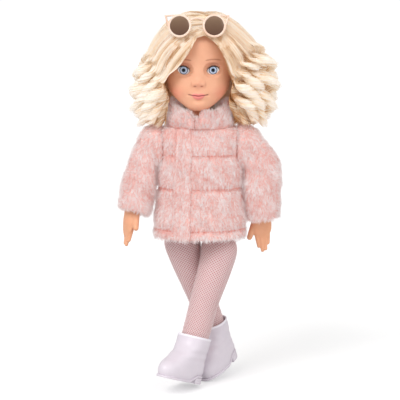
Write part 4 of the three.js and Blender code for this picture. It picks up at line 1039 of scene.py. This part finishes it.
def clear_face(hairs, side):
    """Press hairs out of the face, round the collar, on to the shoulders and back behind the lenses."""
    x, y, z = hairs[..., 0] - HEAD_X, hairs[..., 1], hairs[..., 2]
    edge = np.interp(z, FACE_EDGE[:, 0], FACE_EDGE[:, 2 if side > 0 else 1])
    over = side * x - edge
    eased = np.where(over < 4, 4 * np.exp(np.minimum(over - 4, 0) / 6), over)
    ahead = smoothstep(14, 2, y) * (edge > 0)
    x = x + side * ahead * (eased - over)
    front = -47 + 8 * smoothstep(414, 427, z)
    rest = HAIR_REST_Z + 1.5 * np.sin(0.4 * x)
    rest = rest - 0.8 * np.clip(np.abs(x) - 64, 0, None) - 0.5 * np.clip(np.abs(y) - 20, 0, None)
    z = np.where(z < rest + 6, rest + 6 * np.exp((z - rest - 6) / 6), z)
    y = np.maximum(y, front)
    near = np.maximum(np.hypot(x, y), 1)
    spread = np.maximum(near, COLLAR_CLEAR * smoothstep(358, 346, z)) / near
    return xyz(x * spread + HEAD_X, y * spread, z)


def lock_path(guides, side, place, inward, layer, local):
    """Middle line of a lock between two guides, drawn in towards the head in its lower part."""
    row = min(int(place), len(guides) - 2)
    path = along_guide(guides[row] + (guides[row + 1] - guides[row]) * (place - row), HAIR_V)
    pull = 1 - (1 - inward) * smoothstep(0.3, 0.75, HAIR_V)[:, None]
    path = np.where([True, True, False], WIG_AXIS + (path - WIG_AXIS) * pull, path)
    path[:, 2] += 0.03 * np.clip(path[:, 2] - 400, 0, None) - layer * 1.5
    path[:, 2] -= (12 - 8 * local.random()) * smoothstep(0.5, 1.0, HAIR_V)
    path[:, 0] -= (3.5 if side > 0 else 0) * smoothstep(0.3, 0, HAIR_V)
    return path


def hair_lock(guides, side, place, inward, count, layer):
    """Hairs of one lock, a flat comb that turns into a band wound round a hanging curl: their points, the way up from
    the band, tone, painted highlight and shade on the curl, and place along."""
    local = np.random.default_rng(int(place * 1000) + layer * 77 + (side > 0) * 31)
    path = lock_path(guides, side, place, inward, layer, local)
    tangent = unit(np.gradient(path, axis=0))
    outward = path - SKULL_MIDDLE
    outward = unit(outward - tangent * dot(outward, tangent))
    across = np.cross(tangent, outward)
    run = np.concatenate([[0], np.cumsum(np.linalg.norm(np.diff(path, axis=0), axis=1))])
    begin = (0.4 if side > 0 else 0.48) + 0.16 * smoothstep(1.8, 0.2, place) + local.uniform(-0.04, 0.04)
    grow = smoothstep(begin, begin + 0.26, HAIR_V)
    curl = (CURL_RADIUS - layer) * local.uniform(0.85, 1.12) * grow * (1 - 0.35 * smoothstep(0.86, 1, HAIR_V))
    phase = side * 2 * np.pi * run / local.uniform(22, 27) + local.uniform(0, 2 * np.pi)
    place_in = local.uniform(-1, 1, (count, 1))
    deep_in = local.uniform(-1, 1, (count, 1))
    turn = phase + 1.5 * place_in + local.normal(0, 0.1, (count, 1))
    reach = curl * (1 + 0.14 * deep_in) * (1 - 0.32 * place_in**2)
    comb = place_in * (5.5 + 7.5 * smoothstep(0.05, 0.35, HAIR_V) - 11.5 * grow)
    part = comb + reach * np.cos(turn)
    rise = deep_in * (1.0 + 0.8 * grow) + 0.9 * reach * np.sin(turn) - comb**2 / 110
    rise = np.maximum(rise, -3 - 6 * grow)
    hairs = path + part[..., None] * across + rise[..., None] * outward
    stop = local.uniform(0.9, 1.0, (count, 1, 1))
    hairs = hairs[:, :1] + np.cumsum(np.concatenate([np.zeros((count, 1, 3)), np.diff(hairs, axis=1) * stop], 1), 1)
    hairs = clear_face(hairs, side)
    way = unit(np.gradient(hairs, axis=1))
    lay = outward * (1.1 - 0.8 * grow)[:, None] + (grow * np.cos(turn))[..., None] * across
    lay = lay + (grow * np.sin(turn))[..., None] * outward
    lay = lay - (0.7 * side * place_in * grow)[..., None] * tangent
    lay = unit(lay - way * dot(lay, way))
    # Tone: random per lock and per hair, darker on the inner layers as painted shade.
    tone = np.broadcast_to(local.normal(0, 0.07) + local.normal(0, 0.18, (count, 1)) - 0.2 * layer, part.shape)
    # Painted highlight on the outer side of each curl, painted shade on its inner side, at the band's edges and deep
    # in it.
    painted_curl_shading = 0.72 * (1 - grow) + grow * (0.66 + 0.42 * np.sin(turn) - 0.5 * place_in**2) + 0.08 * deep_in
    return hairs + STAND + HEAD_UP, lay, tone, painted_curl_shading, np.broadcast_to(HAIR_V, part.shape)


def hair_look():
    """Silky pale blonde, streaked, gold at the parting: painted shade gold low in the locks, painted highlight on the
    crests.
    """
    look = Look("wig_fibre", roughness=0.4, specular_ior_level=0.35)
    amount = look.math("ADD", look.math("MULTIPLY", look.value("painted_curl_shading"), 0.7), look.value("tone"))
    colour = look.ramp(look.plus(amount, look.value("along"), 0.12), (0.0, (206, 158, 108)), (0.24, (236, 210, 174)),
                       (0.5, (250, 239, 222)), (0.8, (255, 251, 246)))
    # Painted glow that lifts the shade among the locks.
    look.paint(colour, 0.14)
    look.let_through(colour, 0.45)
    return look


def make_hair():
    """Locks in three layers from the parting."""
    look = hair_look()
    groups = {"fringe_locks": "hair_fringe", "left_curl_locks": "hair_left_curls",
              "right_curl_locks": "hair_right_curls", "back_curl_locks": "hair_back_curls"}
    made = {name: [] for name in groups}
    share = 1
    for guides, side, name in ((RIGHT_GUIDES, -1, "right_curl_locks"), (LEFT_GUIDES, 1, "left_curl_locks")):
        for layer, (locks, hairs, inward) in enumerate(HAIR_LAYERS):
            for step in range(locks):
                place = 6 * (step + 0.25 + 0.5 * (layer % 2)) / locks
                group = "fringe_locks" if place < FRINGE_END else "back_curl_locks" if place > BACK_START else name
                made[group].append(hair_lock(guides, side, min(place, 5.999), inward, int(hairs * share), layer))
    for name, node in groups.items():
        hairs, lay, tone, painted_curl_shading, v = (np.concatenate(part) for part in zip(*made[name]))
        sides = unit(np.cross(unit(np.gradient(hairs, axis=1)), lay))
        widths = HAIR_WIDTH * (1 - 0.4 * smoothstep(0.8, 1.0, v))
        locks = ribbons(name, hairs, widths, sides, {"along": v, "tone": tone, "painted_curl_shading": painted_curl_shading})
        dress(locks, look, "head", "hair", node)


def make_cap():
    """Sewn cap with combed hair on it: the wig form drawn in, cut back behind the head where the face shows."""
    look = Look("wig_cap", roughness=0.5, specular_ior_level=0.3)
    streak = look.node("Mapping", {"Vector": look.coords(), "Scale": (900.0, 900.0, 60.0)}).outputs[0]
    comb = look.noise(1.0, 3.0, 0.6, streak)
    look.set(base_color=look.ramp(comb, (0.25, (228, 194, 152)), (0.5, (242, 220, 190)), (0.75, (250, 238, 220))))
    look.bump(comb, 0.6, 0.001)
    z = np.linspace(326, 458, 90)[:, None]
    left, right, front, back = wig_shape(z)
    x, y = oval(all_round(120), 2.1, 0, left, front, back, right)
    drawn = 0.86 + 0.08 * smoothstep(410, 450, z)
    x, y = x * drawn, y * drawn
    z = SKULL_Z + (z - SKULL_Z) * 0.965
    edge = np.interp(x, FACE_WINDOW[:, 0] - 4, FACE_WINDOW[:, 1] + 3, left=300, right=300)
    shown = smoothstep(4, -4, z - edge) * (y < 2)
    near = np.hypot(x, y)
    y = y + shown * (14 - y)
    clear = np.maximum(near, smoothstep(352, 346, z) * 46.5) / np.maximum(near, 1)
    cap = lofted("wig_cap_hair", xyz(x * clear, y * clear, z) + HEAD_AT)
    dress(cap, look, "head", "hair", "hair_crown")


# Sunglasses

GLASSES_AT = np.array([-1.75, -44.0, 442.0]) + HEAD_AT
GLASSES_TURN = turn_matrix(-12, 0, 0)
LENS_X, LENS_RADIUS = 21.25, 12.3
RIM_RADIUS, RIM_HOLE = 14.5, 11.6
WING = np.array([(0, 0.0), (14.5, -1), (18.6, 13.2), (0, 14.5)])
PLATE_HALF, PLATE_ROUND, PLATE_STEP = 1.3, 1.1, 0.36
TEMPLE_OUT, TEMPLE_LENGTH = 16.2, 61


def inside_polygon(x, z, corners):
    """Signed distance to a convex outline given anticlockwise, positive inside."""
    far = np.full(x.shape, 1e3)
    for (ax, az), (bx, bz) in zip(corners, np.roll(corners, -1, 0)):
        long = math.hypot(bx - ax, bz - az)
        far = np.minimum(far, ((bx - ax) * (z - az) - (bz - az) * (x - ax)) / long)
    return far


def frame_outline(x, z):
    """Signed distance inside the frame: two rims, pointed outer wings with cut-outs and an arched bridge."""
    away = np.abs(x)
    out = away - LENS_X
    from_lens = np.hypot(out, z)
    wing = inside_polygon(out, z, WING)
    bridge = np.minimum(1.2 - np.abs(z - 9.4 + 3.2 * (away / 9) ** 2), 9.6 - away)
    wing_hole = -np.minimum.reduce([from_lens - 14.0, wing - 2.2, out - 5])
    solid = np.maximum.reduce([RIM_RADIUS - from_lens, wing, bridge])
    return np.minimum.reduce([solid, from_lens - RIM_HOLE, wing_hole])


def seat_glasses(points):
    """Points of the glasses, with their front at y 0, in place on the wig."""
    return points @ GLASSES_TURN.T + GLASSES_AT


def frame_plate():
    """Points and faces of the frame's front: a fine grid with its edge drawn on to the outline, rounded over."""
    x, z = np.meshgrid(np.arange(-41, 41 + PLATE_STEP, PLATE_STEP), np.arange(-15.5, 15.5 + PLATE_STEP, PLATE_STEP))
    inside = frame_outline(x, z)
    for _ in range(4):
        now = frame_outline(x, z)
        slope_z, slope_x = np.gradient(now, PLATE_STEP)
        push = np.where(inside < 0, np.clip(-now, -0.6, 0.6), 0)
        long = np.maximum(slope_x**2 + slope_z**2, 0.25)
        x, z = x + push * slope_x / long, z + push * slope_z / long
    solid = inside > 0
    used = solid[:-1, :-1] | solid[1:, :-1] | solid[:-1, 1:] | solid[1:, 1:]
    deep = np.clip(frame_outline(x, z), 0, PLATE_ROUND) / PLATE_ROUND
    half = PLATE_HALF * np.sqrt(np.clip(1 - (1 - deep) ** 2, 0, 1)) + 0.04
    points = np.concatenate([xyz(x, PLATE_HALF + face * half, z).reshape(-1, 3) for face in (-1, 1)])
    quads = grid_quads(*x.shape)[used.ravel()]
    faces = np.concatenate([quads, quads[:, ::-1] + x.size])
    kept, index = np.unique(faces, return_inverse=True)
    return points[kept], index.reshape(faces.shape)


def make_temple(name, side, look):
    """Bar from the wing back over the wig, bent down and thicker at its end."""
    t = np.linspace(0, 1, 40)[:, None]
    turn = all_round(20)
    tip = np.sqrt(np.clip(1 - np.clip(np.abs(t - 0.5) * 40 - 19, 0, 0.98) ** 2, 0.05, 1))
    end = smoothstep(0.8, 1, t)
    x = side * (LENS_X + TEMPLE_OUT) + 1.05 * tip * round_power(np.cos(turn), 3)
    z = 10.5 - 9 * t - 3 * end + (1.5 + 0.5 * end) * tip * round_power(np.sin(turn), 3)
    temple = lofted(f"{name}_temple", seat_glasses(xyz(x, 1 + TEMPLE_LENGTH * t, z))[:, ::-side])
    dress(temple, look, "sunglasses", "frame")


def make_lens(name, side, look):
    """Domed lens, 1.2 thick."""
    ring = np.linspace(0.02, 1, 14)[:, None]
    turn = all_round(64)
    x = side * LENS_X + LENS_RADIUS * ring * np.cos(turn)
    z = LENS_RADIUS * ring * np.sin(turn)
    dome = 0.9 * (1 - ring**2)
    rings = np.concatenate([xyz(x, 0.7 - dome, z), xyz(x, 1.9 - dome, z)[::-1]])
    lens = lofted(f"{name}_tinted_lens", seat_glasses(rings), {"up": rings[..., 2] / 24 + 0.5})
    dress(lens, look, "sunglasses", "lens", f"{name}_lens")


def lens_look():
    """Tinted glass: brown, deeper at the foot, lighter towards the top as a painted reflection, with fine scuffs."""
    look = Look("tinted_lens", coat_weight=0.3, coat_roughness=0.04)
    # Lighter towards the top, broken by noise into a soft band: painted reflection.
    band = look.plus(look.value("up"), look.noise(45.0, 2.0), 0.16)
    look.set(base_color=look.ramp(band, (0.0, (86, 54, 38)), (0.45, (104, 74, 54)), (0.8, (118, 90, 68)),
                                  (1.0, (132, 104, 82))))
    look.set(roughness=look.plus(0.06, look.noise(700.0), 0.08))
    return look


def make_glasses():
    """Frame with temples that reach back over the wig, and two domed tinted lenses."""
    gloss = Look("frame_plastic", roughness=0.22, coat_weight=0.5, coat_roughness=0.08)
    gloss.set(base_color=gloss.ramp(gloss.noise(60.0, 4.0), (0.3, (240, 196, 170)), (0.55, (248, 220, 200)),
                                    (0.8, (252, 232, 218))))
    gloss.bump(gloss.noise(500.0), 0.05, 0.0003)
    tint = lens_look()
    points, faces = frame_plate()
    plate = mesh_piece("sunglasses_plate", seat_glasses(points), faces)
    dress(plate, gloss, "sunglasses", "frame", "sunglasses_frame")
    for name, side in SIDES:
        make_temple(name, side, gloss)
        make_lens(name, side, tint)


# Legs, tights and boots

# Side, height of the hip, and pitch, lean and twist in degrees
LEGS = {"left": (1, 200.5, (-13, 13.5, -36)), "right": (-1, 206.5, (8, -16, -28))}
HIP_X, HIP_BALL, LEG_LENGTH = 28.0, 18.5, 211.5
NET_OFFSET = 0.9
BOOT_HEIGHT, HEEL_RISE, SOLE_AT = 58, 8, 5.0
# Depth below the hip, half width, front, back and bow outwards
leg_shape = smooth_through([
    [10, 15, 15, 15, 0], [20, 18.5, 17.5, 18, 2], [35, 23.3, 19.2, 20.2, 5.8], [60, 21.6, 18, 19, 6.8],
    [99.5, 18.6, 17, 16.5, 3.5], [116.5, 17.4, 16.5, 16.5, 2], [134.5, 17.4, 16, 17.5, 1.5],
    [156.5, 16.6, 15.5, 17, 0.5], [176.5, 14, 13.5, 15, 0], [192.5, 12.5, 13, 14, 0],
])
RIM_HALF, RIM_FRONT, RIM_BACK = (leg_shape(LEG_LENGTH - BOOT_HEIGHT) + 4.1)[:3]
# Height above the tread, half width, toe and heel
boot_shape = smooth_through([
    [0, 17.5, 53, 22], [5, 18.7, 54.8, 23.2], [12, 18.8, 54.6, 23.5], [19, 18.5, 50, 23], [27, 18.3, 39.5, 22],
    [36, 18.6, 28.5, 21], [46, RIM_HALF - 0.6, 21.5, RIM_BACK - 0.5], [58, RIM_HALF, RIM_FRONT + 0.5, RIM_BACK],
])
# Rows of the boot's rim, where it turns in: height and growth; and of the sole: height and growth
RIM_ROWS = np.array([[58, -0.1], [58.3, -0.5], [58.2, -1.2], [57.6, -1.8], [56, -2], [52, -2], [46, -2]])
SOLE_ROWS = np.array([[0.0, -0.3], [0.25, 0.1], [0.7, 0.25], [1.9, 0.25], [2.4, 0.15], [2.6, -0.1]])


def boot_rise(y):
    """Height of the sole's underside: flat under the toes, rising to the heel block."""
    return HEEL_RISE * smoothstep(-16, 2, y)


def boot_ring(height, angle, grow):
    """Outline of the boot at a height above the floor."""
    return oval(angle, 2.3, grow, *boot_shape(height))


def leg_points(side, depth, angle, grow):
    """Leg surface: an oval ring for each depth below the hip, bowed outwards."""
    half, front, back, bow = leg_shape(depth)
    x, y = oval(angle, 2, grow, half, front, back)
    return xyz(x + side * bow, y, -depth)


def net_look():
    """Fine net knit: pale threads in a diamond lattice with open holes, slightly glossy and rounded."""
    look = mottled("net_knit", (320.0, 3.0), (238, 208, 207), (248, 230, 229), roughness=0.6, sheen_weight=0.2)
    split = look.node("SeparateXYZ", {"Vector": look.node("UVMap", uv_map="UVMap").outputs["UV"]}).outputs
    ways = [look.math(op, split["X"], split["Y"]) for op in ("ADD", "SUBTRACT")]
    offs = [look.math("ABSOLUTE", look.math("SUBTRACT", look.math("FRACT", way), 0.5)) for way in ways]
    open_at = look.math("MAXIMUM", *offs)
    thread = look.node("MapRange", {"Value": open_at, "From Min": 0.27, "From Max": 0.33}).outputs[0]
    edge = look.node("LayerWeight", {"Blend": 0.4}).outputs["Facing"]
    cover = look.plus(0.8, edge, 0.2)
    look.set(alpha=look.math("MULTIPLY", look.plus(0.06, thread, 0.93), cover))
    look.bump(open_at, 0.5, 0.0005)
    return look


def boot_look():
    """Smooth pale faux leather with a faint grain, light flex creases and a paler rim."""
    look = Look("boot_leather", coat_weight=0.12, coat_roughness=0.3)
    tint = look.mix(look.noise(70.0), rgb(215, 206, 215), rgb(227, 218, 226))
    look.set(base_color=look.mix(look.value("rim"), tint, rgb(242, 237, 244)))
    look.set(roughness=look.plus(0.32, look.noise(240.0), 0.16))
    look.bump(look.plus(look.noise(1600.0, 2.0), look.noise(120.0), 2.0), 0.2, 0.0005)
    return look


LEG_SKIN = mottled("leg_vinyl", (70.0, 3.0), (186, 108, 114), (204, 134, 136), (900.0, 2.0, 0.1, 0.0004),
                   roughness=0.5, subsurface_weight=0.1, subsurface_radius=SKIN_RADIUS)
NET = net_look()
LEATHER = boot_look()
RUBBER = mottled("sole_rubber", (180.0, 4.0), (213, 204, 213), (226, 217, 225), (900.0, 3.0, 0.3, 0.0005),
                 roughness=0.7)


def net_piece(name, rings, round_holes, row_holes):
    """Open tube of net over rows of points, with its holes counted round it and along it."""
    uv = np.stack(np.broadcast_arrays(round_holes, row_holes), -1).reshape(-1, 2)
    return mesh_piece(name, rings.reshape(-1, 3), grid_quads(*rings.shape[:2]), uv=uv)


def make_leg_skin(name, side, seat):
    """Vinyl leg, from inside the boot up to the ball in the hip."""
    angle = all_round(72)
    limb = leg_points(side, np.linspace(194, 10, 110)[:, None], angle, 0.0)
    high = np.linspace(8, -18.2, 14)[:, None]
    radius = np.sqrt(HIP_BALL**2 - high**2) * (1 - 0.06 * smoothstep(0, 8, high))
    ball = xyz(radius * np.sin(angle), -radius * np.cos(angle), -high)
    leg = lofted(f"{name}_leg_vinyl", seat(np.concatenate([limb, ball])))
    dress(leg, LEG_SKIN, f"{name}_leg", "skin", f"{name}_leg")


def make_tights(name, side, seat):
    """Net over the leg, with a few wrinkles above the boot."""
    angle = np.linspace(0, 2 * np.pi, 97)
    depth = np.linspace(159.5, 24, 90)[:, None]
    wrinkle = 0.35 * bell(depth - 147, 9) * np.sin(depth * 1.1 + 2 * np.sin(angle))
    tube = leg_points(side, depth, angle, NET_OFFSET + wrinkle)
    net = net_piece(f"{name}_net_tights", seat(tube), angle / (2 * np.pi) * 34, depth / 3.6)
    dress(net, NET, f"{name}_leg", "tights", f"tights_{name}_leg")


def make_boot(name, seat):
    """Ankle boot: upper with a turned-in rim, sole and heel block."""
    body = f"{name}_leg"
    angle = all_round(96)
    height = np.concatenate([np.linspace(0, 57.4, 64), RIM_ROWS[:, 0]])[:, None]
    grow = np.concatenate([np.zeros(64), RIM_ROWS[:, 1]])[:, None]
    flex = 0.35 * bell(height - 33, 10) * np.sin(height * 0.62 + 1.5 * np.cos(angle))
    hem = 0.35 * bell(height - 54.6, 0.55)
    x, y = boot_ring(np.minimum(height, BOOT_HEIGHT), angle, grow + flex - hem)
    foot = (boot_rise(y) + 2.65) * (1 - smoothstep(0, 24, height))
    rim = np.broadcast_to(smoothstep(55.2, 56, height), x.shape)
    upper = lofted(f"{name}_ankle_boot", seat(xyz(x, y, height + foot - LEG_LENGTH)), {"rim": rim})
    dress(upper, LEATHER, body, "boot", f"{name}_boot_upper")

    x, y = boot_ring(SOLE_AT, angle, SOLE_ROWS[:, 1:])
    sole = lofted(f"{name}_outsole", seat(xyz(x, y, boot_rise(y) + SOLE_ROWS[:, :1] - LEG_LENGTH)))
    dress(sole, RUBBER, body, "sole", f"{name}_boot_sole")

    t = np.array([0.0, 0.03, 0.1, 0.5, 0.9, 0.97, 1.0])[:, None]
    grow = 0.2 - 0.6 * np.clip(np.abs(t - 0.5) * 2 - 0.9, 0, 1) * 10 * 0.6
    x, y = boot_ring(SOLE_AT, angle, grow)
    y = np.maximum(y, -3.5 + (0.2 - grow) * 0.5)
    top = np.maximum(boot_rise(y) - 0.3, 0.5)
    heel = lofted(f"{name}_heel_block", seat(xyz(x, y, t * top - LEG_LENGTH)))
    dress(heel, RUBBER, body, "sole", f"{name}_boot_heel")


def make_leg(name):
    """One leg: vinyl skin, net tights over it and the ankle boot."""
    side, hip_z, tilt = LEGS[name]
    turn = turn_matrix(*tilt)
    origin = np.array([side * HIP_X, 0, hip_z]) + STAND

    def seat(points):
        return points @ turn.T + origin

    make_leg_skin(name, side, seat)
    make_tights(name, side, seat)
    make_boot(name, seat)


# Cloth body and the pieces that stay out of sight

TORSO_LOW_Z, TORSO_TOP_Z = 203.5, 312
WAIST_LOW_Z, WAIST_TOP_Z = 229, 249
# Height, half width, front and back
torso_shape = smooth_through([
    [203.5, 41, 31, 33], [215.5, 45, 34, 36], [243.5, 42, 33, 33], [271, 43, 33, 33],
    [291, 42, 31, 31], [306, 33, 25, 26], [312, 20, 18, 18],
])


def torso_points(z, angle, grow):
    """Torso surface: an oval ring for each height."""
    return xyz(*oval(angle, 2.3, grow, *torso_shape(z)), z) + STAND


def make_torso():
    """Stuffed cloth torso with the waist of the tights on it."""
    weave = mottled("body_cloth", (120.0, 3.0), (226, 196, 174), (240, 214, 196), roughness=0.95)
    cloth = weave.node("TexWave", {"Vector": weave.coords(), "Scale": 900.0, "Distortion": 1.0}).outputs["Fac"]
    weave.bump(cloth, 0.4, 0.0004)
    z = np.linspace(TORSO_LOW_Z, TORSO_TOP_Z, 70)[:, None]
    torso = lofted("stuffed_torso", torso_points(z, all_round(96), 0.0))
    dress(torso, weave, "body", "cloth", "torso")
    angle = np.linspace(0, 2 * np.pi, 121)
    z = np.linspace(WAIST_LOW_Z, WAIST_TOP_Z, 24)[:, None]
    band = torso_points(z, angle, NET_OFFSET)
    waist = net_piece("tights_waist_net", band, angle / (2 * np.pi) * 80, z / 3.0)
    dress(waist, NET, "body", "tights", "tights_waist")


def finish_inner():
    """Moulded plastic, cast weight and woven tape for the pieces inside, which keep their CAD shape."""
    plastic = mottled("inner_plastic", (90.0, 3.0), (222, 218, 212), (238, 235, 230), (700.0, 3.0, 0.15, 0.0003),
                      roughness=0.5)
    weight = mottled("cast_weight", (200.0, 3.0), (120, 122, 126), (160, 162, 166), (500.0, 3.0, 0.4, 0.0004),
                     metallic=0.8, roughness=0.5)
    tape = mottled("woven_tape", (1200.0, 3.0), (226, 208, 204), (248, 236, 233), (2400.0, 2.0, 0.8, 0.0006),
                   roughness=0.95)
    kept = ((plastic, ("neck_disc", "left_shoulder_disc", "right_shoulder_disc", "left_hip_cup", "right_hip_cup",
                       "eye_bar")),
            (weight, ("eye_weight",)), (tape, ("closure_hook_strip", "closure_loop_strip")))
    for look, names in kept:
        for name in names:
            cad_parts[name].data.materials.clear()
            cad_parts[name].data.materials.append(look.material)


# Build: the pile of the jacket's pieces takes its random draws in this order

scene = bpy.context.scene
scene.view_settings.view_transform = "Standard"
make_lights(scene)
make_floor()
make_camera(scene)
make_head()
make_neck()
make_eyes()
stitch_seams()
make_panel("back_panel", 90.2, 269.8, 130, "jacket_back")
make_panel("right_front_panel", -89.8, -31.2, 60, "jacket_right_front")
make_panel("left_front_panel", -27.0, 89.8, 110, "jacket_left_front", lap=-9.0)
make_panel("front_placket", -30.8, -9.2, 30, "jacket_placket", proud=1.4)
make_collar()
make_arm("left")
make_arm("right")
make_hair()
make_cap()
make_glasses()
make_leg("left")
make_leg("right")
make_torso()
finish_inner()
